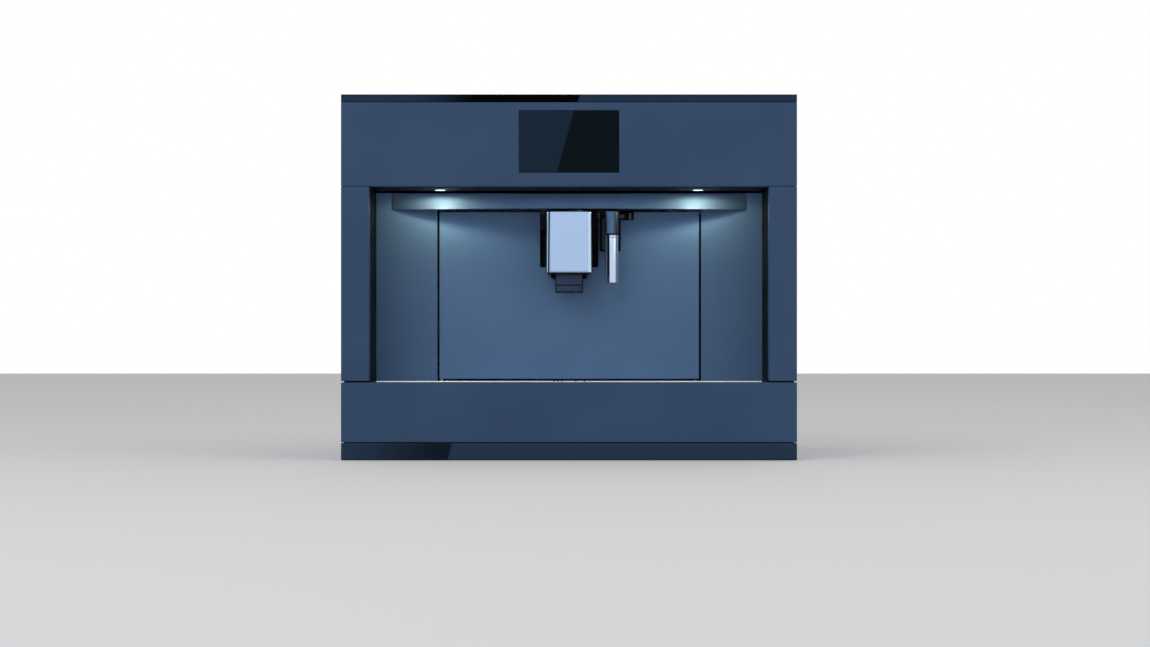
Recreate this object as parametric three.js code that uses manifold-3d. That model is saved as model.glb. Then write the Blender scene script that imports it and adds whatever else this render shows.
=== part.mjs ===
// Built-in coffee machine that pulls out of its niche on telescopic guides.
//
// Millimetres, +Z up. The pieces are laid out in a front frame: x runs to the right, y runs inward from
// the face of the front panels, and z runs up from the shelf that the guides stand on. The last lines
// move the whole machine so that its origin is the centre of its footprint.

import * as THREE from 'three';
import { mergeVertices } from 'three/addons/utils/BufferGeometryUtils.js';
import Module from 'manifold-3d';

const wasm = await Module();
wasm.setup();

// ---------------------------------------------------------------- driving dimensions

// Clearances and sheet metal
const FIT = 0.3;
const SHEET = 1.2;
const RUNNING_GAP = 0.5;

// How far joined shapes run into each other and cutting shapes run past a face
const OVERLAP = 1;

// Facets round small, ordinary and large circles, and steps round a corner
const SMALL_SIDES = 12;
const PIN_SIDES = 16;
const ROUND_SIDES = 24;
const LARGE_SIDES = 32;
const CORNER_STEPS = 5;

// Front panels
const FRONT_WIDTH = 595;
const SHELF_GAP = 0.5;
const BOTTOM_STRIP_HEIGHT = 22;
const LOWER_PANEL_HEIGHT = 79;
const PILLAR_WIDTH = 36.5;
const OPENING_HEIGHT = 256;
const UPPER_PANEL_HEIGHT = 110;
const TOP_STRIP_HEIGHT = 10;
const PANEL_DEPTH = 20;
const PANEL_SKIN = 3;
const PANEL_FLANGE = 2;
const DRAWER_GAP = 2;
const STRIP_GAP = 1;
const FRAME_THICKNESS = 2;
const FRAME_INSET = 2;
const SEAT_WIDTH = 14;
const SEAT_THICKNESS = 0.5;

// Display
const DISPLAY_WIDTH = 130.5;
const DISPLAY_HEIGHT = 81;
const DISPLAY_DROP = 11;
const GLASS_THICKNESS = 2.7;
const MODULE_OVERLAP = 5;

// Recess, its visor and its two lamps
const RECESS_DEPTH = 110;
const RECESS_WALL = 1.5;
const BACK_SHEET = 2;
const FLOOR_DROP = 0.5;
const VISOR_SIDE_GAP = 22;
const VISOR_REACH = 33;
const VISOR_DROP = 25;
const VISOR_LIP = 1.5;
const VISOR_STEPS = 32;
const LAMP_OFFSET = 171.5;
const LAMP_DEPTH = 63;
const LAMP_DIAMETER = 15;
const LAMP_NECK_DIAMETER = 12;
const LAMP_FLANGE = 1;
const LAMP_BAR_WIDTH = 24;
const LAMP_BAR_HEIGHT = 8;

// Chassis
const OVERALL_DEPTH = 412;
const REAR_SPACE = 17;
const BASE_Z = 12;
const BODY_HEIGHT = 422;
const PAN_FLANGE_HEIGHT = 28;
const DECK_SHEET = 1.5;

// Niche guides: brackets on the shelf and three-part telescopic slides
const GUIDE_SETBACK = 0.9;
const BRACKET_SHEET = 2.5;
const BRACKET_HEIGHT = 88;
const BRACKET_FOOT = 29;
const TIE_HEIGHT = 40;
const TIE_FOOT = 14;
const SLIDE_SETBACK = 6;
const SLIDE_REAR_GAP = 32;
const SLIDE_Z = 40;
const SLIDE_HEIGHT = 46;
const SLIDE_SHEET = 1.5;
const SLIDE_FLANGE = 4.2;
const SLIDE_DEPTH = 12.2;

// Service door in the back wall of the recess
const DOOR_WIDTH = 351;
const DOOR_HEAD_GAP = 2.3;
const DOOR_FLOOR_GAP = 3.2;
const DOOR_SIDE_GAP = 2.7;
const DOOR_DEPTH = 10;
const DOOR_SKIN = 2.5;
const DOOR_RIM = 2;
const HINGE_INSET_X = 3;
const HINGE_INSET_Y = 4;
const HINGE_PIN_DIAMETER = 4;
const HINGE_PIN_REACH = 1;
const HINGE_TAB_WIDTH = 22;
const SPOUT_NOTCH_WIDTH = 78;
const SPOUT_NOTCH_DROP = 75;
const WAND_NOTCH_LEAD = 15.8;
const WAND_NOTCH_WIDTH = 28;
const WAND_NOTCH_DROP = 53.5;
const WAND_SLOT_WIDTH = 17.6;
const WAND_SLOT_DROP = 11;
const NOTCH_CORNER = 2;

// Coffee spout, height-adjustable in a channel behind the door's notch
const SPOUT_WIDTH = 60;
const SPOUT_REACH = 65;
const SPOUT_HEIGHT = 81;
const SPOUT_DROP = 2.5;
const SPOUT_CORNER = 9;
const SPOUT_WALL = 2;
const SPOUT_FLARE = 0.025;
const CHANNEL_DEPTH = 21.5;
const CHANNEL_WALL = 2;
const CARRIAGE_HEIGHT = 22;
const CARRIAGE_NECK = 44;
const SPOUT_BASE_THICKNESS = 1.7;
const NOZZLE_WIDTH = 37;
const NOZZLE_LENGTH = 40;
const NOZZLE_HEIGHT = 24.5;
const NOZZLE_SETBACK = 9;
const NOZZLE_BORE = 5;
const NOZZLE_PITCH = 20;
const NOZZLE_GROOVE = 1.2;
const NOZZLE_GROOVE_DROP = 12;
const SPOUT_LEG_WIDTH = 2.5;
const SPOUT_LEG_INSET = 10;
const SPOUT_LEG_DROP = 6.5;

// Hot-water wand, plugged onto a nipple beside the spout
const WAND_OFFSET = 57;
const WAND_REACH = 35;
const WAND_DROP = 1.8;
const KNOB_DIAMETER = 18;
const KNOB_HEIGHT = 31;
const COLLAR_HEIGHT = 4;
const WAND_TUBE_DIAMETER = 16;
const WAND_TUBE_BORE = 9;
const WAND_TUBE_LENGTH = 60;
const SOCKET_BOSS_DIAMETER = 15;
const NIPPLE_DIAMETER = 8;
const NIPPLE_REACH = 22;
const NIPPLE_Z_DROP = 15;
const NIPPLE_BORE = 3;
const SOCKET_PLATE = 3;
const SOCKET_MARGIN = 2;
const SOCKET_BOSS_LIP = 2;

// Drip drawer
const TRAY_Z = 30;
const TRAY_LENGTH = 290;
const TRAY_WALL = 2.5;
const TRAY_RIM = 10;
const TRAY_PLAY = 3;
const RUNNER_DROP = 16;
const RUNNER_WIDTH = 11;
const TRAY_DIVIDER_HEIGHT = 50;
const TRAY_DIVIDER_SETBACK = 2;
const GRILLE_SIDE_GAP = 1;
const GRILLE_THICKNESS = 2;
const GRILLE_SLOT_WIDTH = 6;
const GRILLE_SLOT_LENGTH = 30;
const GRILLE_SLOT_PITCH = 14;
const GRILLE_SLOT_COUNT = 15;
const BIN_WIDTH = 210;
const BIN_WALL = 2;
const BIN_HEAD_GAP = 2;

// Brew group on the deck, right behind the door
const BREW_FRONT_GAP = 5.7;
const BREW_WIDTH = 90;
const BREW_BASE_THICKNESS = 6;
const BREW_HEAD_DROP = 138;
const BREW_HEAD_THICKNESS = 14;
const BREW_BACK_REACH = 50;
const BREW_BACK_THICKNESS = 8;
const BREW_FRONT_REACH = 32;
const PISTON_DIAMETER = 44;
const PISTON_LENGTH = 44;
const CHAMBER_BORE = 46;
const CHAMBER_WALL = 7;
const CHAMBER_LIFT = 48.7;
const CHAMBER_HEIGHT = 55;
const CHAMBER_FLOOR = 6;
const NUT_HEIGHT = 30;
const NUT_WIDTH = 16;
const SPINDLE_SETBACK = 10;
const SPINDLE_DIAMETER = 8;
const SPINDLE_PLAY = 0.4;
const BREW_MOTOR_DIAMETER = 36;
const BREW_MOTOR_HEIGHT = 44;
const PUCK_HOLE_WIDTH = 70;
const PUCK_HOLE_LENGTH = 64;
const PUCK_HOLE_LIP = 6;
const DRIVE_LENGTH = 6;

// Grinder and bean hopper
const GRINDER_BOILER_GAP = 29;
const GRINDER_SETBACK = 48;
const GRINDER_MOTOR_DIAMETER = 64;
const GRINDER_MOTOR_HEIGHT = 130;
const GRINDER_DIAMETER = 90;
const GRINDER_HEIGHT = 69;
const BURR_FLOOR = 24;
const BURR_RADIUS = 27.5;
const BURR_TOP_RADIUS = 19.5;
const BURR_HEIGHT = 28;
const BURR_GAP = 1.5;
const BURR_SHAFT_DIAMETER = 10;
const BURR_NOSE = 10;
const BURR_TEETH = 6;
const BURR_TOOTH_DIAMETER = 6;
const HOPPER_WIDTH = 120;
const HOPPER_LENGTH = 140;
const HOPPER_WALL = 2.5;
const HOPPER_BOX_HEIGHT = 50;
const HOPPER_THROAT = 48;
const HOPPER_THROAT_HEIGHT = 20;
const HOPPER_RIM = 6;
const HOPPER_RIM_THICKNESS = 2.5;
const LID_THICKNESS = 3;
const LID_BARREL_RADIUS = 3.2;
const LID_PIN_DIAMETER = 4;
const EAR_WIDTH = 8;
const EAR_INSET = 12;
const EAR_ROOT = 2.5;

// Boiler, pump and their pipes
const BOILER_SIDE_GAP = 10.5;
const BOILER_LEAD = 5;
const BOILER_WIDTH = 50;
const BOILER_LENGTH = 150;
const BOILER_HEIGHT = 128;
const BOILER_FIN = 3;
const BOILER_FIN_COUNT = 9;
const PUMP_TANK_GAP = 28;
const PUMP_LENGTH = 90;
const PUMP_DIAMETER = 38;
const PUMP_COIL = 46;
const WATER_LINE_GAP = 14;
const WATER_LINE_LIFT = 25.7;
const HOSE_DIAMETER = 8;
const HOSE_BEND = 22;

// Water tank on the right, and its dock
const TANK_WIDTH = 76;
const TANK_SETBACK = 20;
const TANK_REAR_GAP = 11;
const TANK_TOP_GAP = 5.7;
const TANK_WALL = 2.5;
const TANK_LIFT = 5;
const TANK_WINDOW_GAP = 2;
const TANK_LID_THICKNESS = 2.5;
const TANK_MOUTH_WIDTH = 44;
const TANK_MOUTH_LENGTH = 90;
const TANK_MOUTH_FRONT = 22;
const GRIP_WIDTH = 80;
const GRIP_HEIGHT = 24;
const GRIP_DEPTH = 16;
const GRIP_DROP = 26;
const DOCK_POST = 9;
const DOCK_POST_WIDTH = 24;
const DOCK_NIPPLE_DIAMETER = 10;
const DOCK_NIPPLE_LENGTH = 9;

// Fan, power inlet and boards at the rear
const FAN_X = 100;
const FAN_DROP = 84;
const FAN_SIZE = 80;
const FAN_DEPTH = 20;
const FAN_WALL = 4;
const FAN_BLADES = 7;
const FAN_TIP_GAP = 1.5;
const FAN_HUB_DIAMETER = 26;
const FAN_PIN_DIAMETER = 4;
const FAN_STRUT = 4;
const FAN_BLADE_THICKNESS = 2;
const FAN_BLADE_PITCH = 36;
const VENT_COUNT = 7;
const VENT_WIDTH = 60;
const VENT_HEIGHT = 4;
const VENT_PITCH = 9;
const INLET_SIDE_GAP = 30;
const INLET_Z = 69;
const INLET_WIDTH = 84;
const INLET_WALL = 1.4;
const INLET_FLANGE = 4;
const INLET_PLATE = 2;
const INLET_DEPTH = 26;
const SOCKET_OFFSET = -21;
const SOCKET_WIDTH = 24;
const SOCKET_HEIGHT = 16;
const SOCKET_DEPTH = 18;
const SOCKET_PIN_LENGTH = 11;
const SOCKET_PIN_WIDTH = 2;
const SOCKET_PIN_HEIGHT = 4;
const SOCKET_PIN_PITCH = 6;
const SWITCH_OFFSET = 18;
const SWITCH_DEPTH = 18;
const ROCKER_WIDTH = 26;
const ROCKER_HEIGHT = 19;
const ROCKER_THICKNESS = 9;
const ROCKER_TILT = 8;
const ROCKER_PLAY = 4.2;
const BOARD_X = -10;
const BOARD_Z = 230;
const BOARD_WIDTH = 130;
const BOARD_HEIGHT = 100;
const BOARD_THICKNESS = 1.6;
const BOARD_STANDOFF = 13;
const BOARD_POST_INSET = 8;
const BOARD_POST_DIAMETER = 7;
const BOARD_ROW_OFFSET = 25;
const TRANSFORMER_WIDTH = 32;
const TRANSFORMER_HEIGHT = 28;
const TRANSFORMER_REACH = 22;
const RELAY_WIDTH = 20;
const RELAY_HEIGHT = 24;
const RELAY_REACH = 14;
const PROCESSOR_WIDTH = 40;
const PROCESSOR_HEIGHT = 20;
const PROCESSOR_REACH = 7;

// ---------------------------------------------------------------- levels and faces that follow

const frontHalf = FRONT_WIDTH / 2;
const openingHalf = frontHalf - PILLAR_WIDTH;
const lowerPanelZ = SHELF_GAP + BOTTOM_STRIP_HEIGHT;
const openingZ = lowerPanelZ + LOWER_PANEL_HEIGHT;
const ceilingZ = openingZ + OPENING_HEIGHT;
const topStripZ = ceilingZ + UPPER_PANEL_HEIGHT;
const frontTop = topStripZ + TOP_STRIP_HEIGHT;
const floorZ = openingZ - FLOOR_DROP;
const runnerZ = floorZ - RUNNER_DROP;

const frameY = PANEL_DEPTH + FIT;
const chassisY = frameY + FRAME_THICKNESS + SEAT_THICKNESS + FIT;
const insideX = openingHalf + RECESS_WALL;
const sideInner = insideX + FIT;
const sideOuter = sideInner + SHEET;
const bodyRear = OVERALL_DEPTH - REAR_SPACE;
const bodyTop = BASE_Z + BODY_HEIGHT;
const topCoverZ = bodyTop + FIT;
const topCoverTop = topCoverZ + SHEET;
const deckZ = floorZ - DECK_SHEET;
const onDeck = floorZ + FIT;
const rearCoverY = bodyRear + FIT;
const guideFront = chassisY + GUIDE_SETBACK;

const backTop = ceilingZ - VISOR_DROP;
const doorZ = floorZ + DOOR_FLOOR_GAP;
const doorTop = backTop - DOOR_HEAD_GAP;
const doorHalf = DOOR_WIDTH / 2;
const doorBack = RECESS_DEPTH + DOOR_SKIN;
const hinge = [-doorHalf + HINGE_INSET_X, RECESS_DEPTH + HINGE_INSET_Y];
const backEdge = doorHalf + DOOR_SIDE_GAP;
const channelY = [doorBack + FIT, doorBack + FIT + CHANNEL_DEPTH];

const brewFront = channelY[1] + BREW_FRONT_GAP;
const brewY = brewFront + BREW_FRONT_REACH;
const brewBackY = brewY + BREW_BACK_REACH;
const brewHeadZ = bodyTop - BREW_HEAD_DROP;
const boilerLeft = BOILER_SIDE_GAP + BOILER_FIN - insideX;
const boilerX = [boilerLeft, boilerLeft + BOILER_WIDTH];
const grinderX = boilerX[1] + GRINDER_BOILER_GAP + GRINDER_DIAMETER / 2;
const grinderY = brewY + GRINDER_SETBACK;
const waterLineY = grinderY + GRINDER_MOTOR_DIAMETER / 2 + WATER_LINE_GAP;
const waterLineZ = onDeck + WATER_LINE_LIFT;
const waterLine = [waterLineY, waterLineZ];
const tankX = [sideOuter - TANK_WIDTH, sideOuter];
const tankY = [RECESS_DEPTH + TANK_SETBACK, bodyRear - TANK_REAR_GAP];
const tankZ = [onDeck + TANK_LIFT, bodyTop - TANK_TOP_GAP];
const pumpX = [tankX[0] - PUMP_TANK_GAP - PUMP_LENGTH, tankX[0] - PUMP_TANK_GAP];
const fanZ = bodyTop - FAN_DROP;
const inletX = INLET_SIDE_GAP + INLET_WIDTH / 2 - sideOuter;
const inletBodyHeight = ROCKER_HEIGHT + ROCKER_PLAY + 2 * INLET_WALL;

// ---------------------------------------------------------------- shapes

/** A closed geometry as a solid that can be joined and cut. */
function solid(geometry) {
  const bare = geometry.index ? geometry.toNonIndexed() : geometry.clone();
  bare.deleteAttribute('normal');
  bare.deleteAttribute('uv');
  const merged = mergeVertices(bare, 1e-4);
  return new wasm.Manifold(new wasm.Mesh({
    numProp: 3,
    vertProperties: new Float32Array(merged.attributes.position.array),
    triVerts: new Uint32Array(merged.index.array),
  }));
}

const join = (...bodies) => bodies.reduce((sum, body) => sum.add(body));
const cut = (body, ...tools) => tools.reduce((rest, tool) => rest.subtract(tool), body);

/** An upright box from three [low, high] ranges. */
function block(x, y, z) {
  const geometry = new THREE.BoxGeometry(x[1] - x[0], y[1] - y[0], z[1] - z[0]);
  geometry.translate((x[0] + x[1]) / 2, (y[0] + y[1]) / 2, (z[0] + z[1]) / 2);
  return solid(geometry);
}

const inset = (range, low, high = low) => [range[0] + low, range[1] - high];
const around = (centre, size) => [centre - size / 2, centre + size / 2];
const rise = (start, size) => [start, start + size];

/** A range on the left (side -1) or the right (side 1), near and far from the middle. */
const across = (side, near, far) => (side < 0 ? [-far, -near] : [near, far]);

/** A round bar along an axis; centre gives the other two coordinates in x, y, z order. */
function bar(axis, centre, diameter, range, sides = ROUND_SIDES) {
  const length = range[1] - range[0];
  const geometry = new THREE.CylinderGeometry(diameter / 2, diameter / 2, length, sides);
  const middle = (range[0] + range[1]) / 2;
  if (axis === 'x') {
    geometry.rotateZ(-Math.PI / 2).translate(middle, centre[0], centre[1]);
  } else if (axis === 'y') {
    geometry.translate(centre[0], middle, centre[1]);
  } else {
    geometry.rotateX(Math.PI / 2).translate(centre[0], centre[1], middle);
  }
  return solid(geometry);
}

/** A solid of revolution about the vertical line through (x, y); profile holds [radius, z]. */
function turned(x, y, profile, sides = LARGE_SIDES) {
  const points = profile.map(([radius, z]) => new THREE.Vector2(radius, z));
  const geometry = new THREE.LatheGeometry(points, sides);
  geometry.rotateX(Math.PI / 2).translate(x, y, 0);
  return solid(geometry);
}

/** A closed outline of [u, v] corners; a corner with a radius is rounded by an arc. */
function outline(corners) {
  const shape = new THREE.Shape();
  corners.forEach(([u, v, radius = 0], index) => {
    const before = corners[(index + corners.length - 1) % corners.length];
    const after = corners[(index + 1) % corners.length];
    const toward = (corner) => {
      const span = Math.hypot(corner[0] - u, corner[1] - v);
      return [u + (corner[0] - u) * radius / span, v + (corner[1] - v) * radius / span];
    };
    const start = toward(before);
    if (index === 0) {
      shape.moveTo(...start);
    } else {
      shape.lineTo(...start);
    }
    if (radius > 0) {
      shape.quadraticCurveTo(u, v, ...toward(after));
    }
  });
  shape.closePath();
  return shape;
}

/** An outline in x and z, extruded inward over a y range. */
function slab(shape, y) {
  const geometry = new THREE.ExtrudeGeometry(shape, {
    depth: y[1] - y[0],
    bevelEnabled: false,
    curveSegments: CORNER_STEPS,
  });
  geometry.rotateX(Math.PI / 2).translate(0, y[1], 0);
  return solid(geometry);
}

/** An outline in x and y, extruded up over a z range. */
function column(shape, z) {
  const geometry = new THREE.ExtrudeGeometry(shape, {
    depth: z[1] - z[0],
    bevelEnabled: false,
    curveSegments: CORNER_STEPS,
  });
  geometry.translate(0, 0, z[0]);
  return solid(geometry);
}

/** A box-shaped shell: walls on five sides, open towards the rear. */
function panelShell(x, z) {
  const outer = block(x, [0, PANEL_DEPTH], z);
  const hollow = block(inset(x, PANEL_FLANGE), [PANEL_SKIN, PANEL_DEPTH + OVERLAP], inset(z, PANEL_FLANGE));
  return cut(outer, hollow);
}

/** An open-topped box with walls and a floor. */
function tub(x, y, z, wall) {
  return cut(block(x, y, z), block(inset(x, wall), inset(y, wall), [z[0] + wall, z[1] + OVERLAP]));
}

/** A tapered four-sided prism between two rectangles, for funnels. */
function frustum(centre, low, high, z) {
  const geometry = new THREE.BoxGeometry(1, 1, z[1] - z[0]);
  const position = geometry.attributes.position;
  for (let i = 0; i < position.count; i += 1) {
    const size = position.getZ(i) > 0 ? high : low;
    position.setX(i, centre[0] + position.getX(i) * size[0]);
    position.setY(i, centre[1] + position.getY(i) * size[1]);
  }
  geometry.translate(0, 0, (z[0] + z[1]) / 2);
  return solid(geometry);
}

// ---------------------------------------------------------------- finishes and the scene

const FINISHES = {
  satinPanel: { color: 0x4a6485, roughness: 0.5, metalness: 0.1 },
  glossTrim: { color: 0x1c2838, roughness: 0.08, metalness: 0.2 },
  displayGlass: { color: 0x10161f, roughness: 0.05, metalness: 0 },
  brightMetal: { color: 0xc4d2e6, roughness: 0.18, metalness: 1 },
  brushedSteel: { color: 0x9aa6b5, roughness: 0.35, metalness: 1 },
  zincSheet: { color: 0x8d949c, roughness: 0.45, metalness: 0.9 },
  aluminium: { color: 0xa9afb6, roughness: 0.4, metalness: 0.9 },
  darkSheet: { color: 0x15191d, roughness: 0.5, metalness: 0.3 },
  blackPlastic: { color: 0x111417, roughness: 0.45, metalness: 0 },
  navyPlastic: { color: 0x1f2c3f, roughness: 0.4, metalness: 0 },
  greyPlastic: { color: 0x4b5158, roughness: 0.5, metalness: 0 },
  lampLens: { color: 0xe5f8ff, roughness: 0.3, metalness: 0 },
  clearPlastic: { color: 0xb9c8d4, roughness: 0.1, metalness: 0 },
  silicone: { color: 0xc9cdd0, roughness: 0.6, metalness: 0 },
  circuitBoard: { color: 0x1f4a3a, roughness: 0.5, metalness: 0 },
};

const machine = new THREE.Group();

/** Adds a named piece to the machine. */
function piece(name, body, finish) {
  const { vertProperties, triVerts } = body.getMesh();
  const geometry = new THREE.BufferGeometry();
  geometry.setAttribute('position', new THREE.BufferAttribute(vertProperties, 3));
  geometry.setIndex(new THREE.BufferAttribute(triVerts, 1));
  geometry.computeVertexNormals();
  const mesh = new THREE.Mesh(geometry, new THREE.MeshStandardMaterial(FINISHES[finish]));
  mesh.name = name;
  machine.add(mesh);
}

const SIDES = [['left', -1], ['right', 1]];

// ---------------------------------------------------------------- niche guides and slides

function addGuides() {
  const webInner = sideOuter + FIT + SLIDE_DEPTH + FIT;
  const webOuter = webInner + BRACKET_SHEET;
  const footInner = webOuter - BRACKET_FOOT;
  const length = [guideFront, OVERALL_DEPTH];
  for (const [label, side] of SIDES) {
    const bracket = join(
      block(across(side, footInner, webOuter), length, [0, BRACKET_SHEET]),
      block(across(side, webInner, webOuter), length, [0, BRACKET_HEIGHT]),
    );
    piece(`guide_bracket_${label}`, bracket, 'zincSheet');
  }
  const between = [-footInner + FIT, footInner - FIT];
  const tieBar = join(
    block(between, [OVERALL_DEPTH - TIE_FOOT, OVERALL_DEPTH], [0, BRACKET_SHEET]),
    block(between, [OVERALL_DEPTH - BRACKET_SHEET, OVERALL_DEPTH], [0, TIE_HEIGHT]),
  );
  piece('guide_tie_bar', tieBar, 'zincSheet');
}

/** A slide rail: an upright web with two flanges that reach towards the next rail. */
function railBody(side, web, flangeEnd, z) {
  const y = [guideFront + SLIDE_SETBACK, OVERALL_DEPTH - SLIDE_REAR_GAP];
  const reach = [Math.min(web[0], flangeEnd), Math.max(web[1], flangeEnd)];
  return join(
    block(across(side, ...web), y, z),
    block(across(side, ...reach), y, rise(z[0], SLIDE_SHEET)),
    block(across(side, ...reach), y, [z[1] - SLIDE_SHEET, z[1]]),
  );
}

function addSlides() {
  const innerWeb = rise(sideOuter + FIT, SLIDE_SHEET);
  const innerTip = innerWeb[1] + SLIDE_FLANGE;
  const middleWeb = rise(innerTip + RUNNING_GAP, SLIDE_SHEET);
  const outerWeb = [innerWeb[0] + SLIDE_DEPTH - SLIDE_SHEET, innerWeb[0] + SLIDE_DEPTH];
  const flangeTip = innerWeb[1] + RUNNING_GAP;
  const outerZ = rise(SLIDE_Z, SLIDE_HEIGHT);
  const middleZ = inset(outerZ, SLIDE_SHEET + RUNNING_GAP);
  const innerZ = inset(middleZ, SLIDE_SHEET + RUNNING_GAP);
  for (const [label, side] of SIDES) {
    piece(`outer_slide_${label}`, railBody(side, outerWeb, flangeTip, outerZ), 'zincSheet');
    piece(`middle_slide_${label}`, railBody(side, middleWeb, flangeTip, middleZ), 'brushedSteel');
    piece(`inner_slide_${label}`, railBody(side, innerWeb, innerTip, innerZ), 'zincSheet');
  }
}

// ---------------------------------------------------------------- front panels and display

function addFront() {
  const full = [-frontHalf, frontHalf];
  const displayTop = topStripZ - DISPLAY_DROP;
  const displayZ = [displayTop - DISPLAY_HEIGHT, displayTop];
  const displayX = around(0, DISPLAY_WIDTH);

  piece('bottom_strip', panelShell(full, [SHELF_GAP, lowerPanelZ]), 'glossTrim');
  piece('top_strip', panelShell(full, [topStripZ, frontTop]), 'glossTrim');

  const window = block(inset(displayX, -FIT), [-OVERLAP, PANEL_SKIN + OVERLAP], inset(displayZ, -FIT));
  const upper = panelShell(full, [ceilingZ, topStripZ - FIT]);
  piece('upper_panel', cut(upper, window), 'satinPanel');
  piece('display_glass', block(displayX, [0, GLASS_THICKNESS], displayZ), 'displayGlass');
  const moduleX = inset(displayX, -MODULE_OVERLAP);
  const moduleZ = inset(displayZ, -MODULE_OVERLAP);
  const moduleY = [PANEL_SKIN + FIT, PANEL_DEPTH - FIT];
  piece('display_module', block(moduleX, moduleY, moduleZ), 'blackPlastic');

  for (const [label, side] of SIDES) {
    const pillar = panelShell(
      across(side, openingHalf, frontHalf),
      [openingZ + DRAWER_GAP, ceilingZ - FIT],
    );
    piece(`pillar_${label}`, pillar, 'satinPanel');
  }

  const frameX = inset(full, FRAME_INSET);
  const frameZ = [SHELF_GAP + FRAME_INSET, frontTop - FRAME_INSET];
  const frameSheet = rise(frameY, FRAME_THICKNESS);
  const through = inset(frameSheet, -OVERLAP);
  const seats = SIDES.map(([, side]) => (
    block(across(side, frameX[1] - SEAT_WIDTH, frameX[1]), inset(frameSheet, 0, -SEAT_THICKNESS), frameZ)
  ));
  const frame = cut(
    join(block(frameX, frameSheet, frameZ), ...seats),
    block([-openingHalf, openingHalf], through, [lowerPanelZ + FRAME_INSET, ceilingZ]),
  );
  piece('front_frame', frame, 'darkSheet');
}

// ---------------------------------------------------------------- recess, visor and lamps

/** The curved visor: its lower edge bows out of the back wall on an arc, its top edge is straight. */
function visorBody() {
  const back = RECESS_DEPTH - FIT;
  const half = openingHalf - VISOR_SIDE_GAP;
  const radius = (half ** 2 + VISOR_REACH ** 2) / (2 * VISOR_REACH);
  const reachAt = (x) => Math.sqrt(radius ** 2 - x ** 2) - (radius - VISOR_REACH);
  const positions = [];
  const faces = [];
  for (let i = 0; i <= VISOR_STEPS; i += 1) {
    const x = half * (2 * i / VISOR_STEPS - 1);
    const edge = back - VISOR_LIP - reachAt(x);
    positions.push(x, back, backTop, x, edge, backTop);
    positions.push(x, back - VISOR_LIP, ceilingZ - FIT, x, back, ceilingZ - FIT);
  }
  for (let i = 0; i < VISOR_STEPS; i += 1) {
    for (let k = 0; k < 4; k += 1) {
      const a = 4 * i + k;
      const b = 4 * i + (k + 1) % 4;
      faces.push(a, a + 4, b, b, a + 4, b + 4);
    }
  }
  const last = 4 * VISOR_STEPS;
  faces.push(0, 1, 2, 0, 2, 3, last, last + 2, last + 1, last, last + 3, last + 2);
  const geometry = new THREE.BufferGeometry();
  geometry.setAttribute('position', new THREE.Float32BufferAttribute(positions, 3));
  geometry.setIndex(faces);
  return solid(geometry);
}

function addRecess() {
  const linerX = [-insideX, insideX];
  const linerY = [chassisY, RECESS_DEPTH + BACK_SHEET];
  const linerZ = [onDeck, ceilingZ + RECESS_WALL];
  const lampHole = LAMP_NECK_DIAMETER + 2 * FIT;
  const liner = cut(
    block(linerX, linerY, linerZ),
    block([-openingHalf, openingHalf], inset(linerY, -OVERLAP), [linerZ[0] - OVERLAP, ceilingZ]),
    ...SIDES.map(([, side]) => (
      bar('z', [side * LAMP_OFFSET, LAMP_DEPTH], lampHole, [ceilingZ - OVERLAP, linerZ[1] + OVERLAP])
    )),
  );
  piece('recess_liner', liner, 'darkSheet');

  const backX = [-openingHalf + FIT, openingHalf - FIT];
  const backY = rise(RECESS_DEPTH, BACK_SHEET);
  const tabY = [RECESS_DEPTH, hinge[1] + HINGE_TAB_WIDTH / 2];
  const tabZ = rise(backTop, BACK_SHEET);
  const back = join(
    cut(
      block(backX, backY, [onDeck, ceilingZ - FIT]),
      block([-backEdge, backEdge], inset(backY, -OVERLAP), [onDeck - OVERLAP, backTop]),
    ),
    block(around(hinge[0], HINGE_TAB_WIDTH), tabY, tabZ),
    bar('z', hinge, HINGE_PIN_DIAMETER, [doorTop - DOOR_RIM - HINGE_PIN_REACH, tabZ[1]]),
  );
  piece('recess_back', back, 'satinPanel');
  piece('visor', visorBody(), 'satinPanel');

  const barZ = rise(linerZ[1] + FIT, LAMP_BAR_HEIGHT);
  const lamps = SIDES.map(([, side]) => {
    const centre = [side * LAMP_OFFSET, LAMP_DEPTH];
    return join(
      bar('z', centre, LAMP_NECK_DIAMETER, [ceilingZ - FIT, barZ[0] + OVERLAP]),
      bar('z', centre, LAMP_DIAMETER, [ceilingZ - FIT - LAMP_FLANGE, ceilingZ - FIT]),
    );
  });
  const carrier = block(
    around(0, 2 * LAMP_OFFSET + LAMP_BAR_WIDTH),
    around(LAMP_DEPTH, LAMP_BAR_WIDTH),
    barZ,
  );
  piece('lamp_bar', join(carrier, ...lamps), 'lampLens');
}

// ---------------------------------------------------------------- chassis

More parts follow.
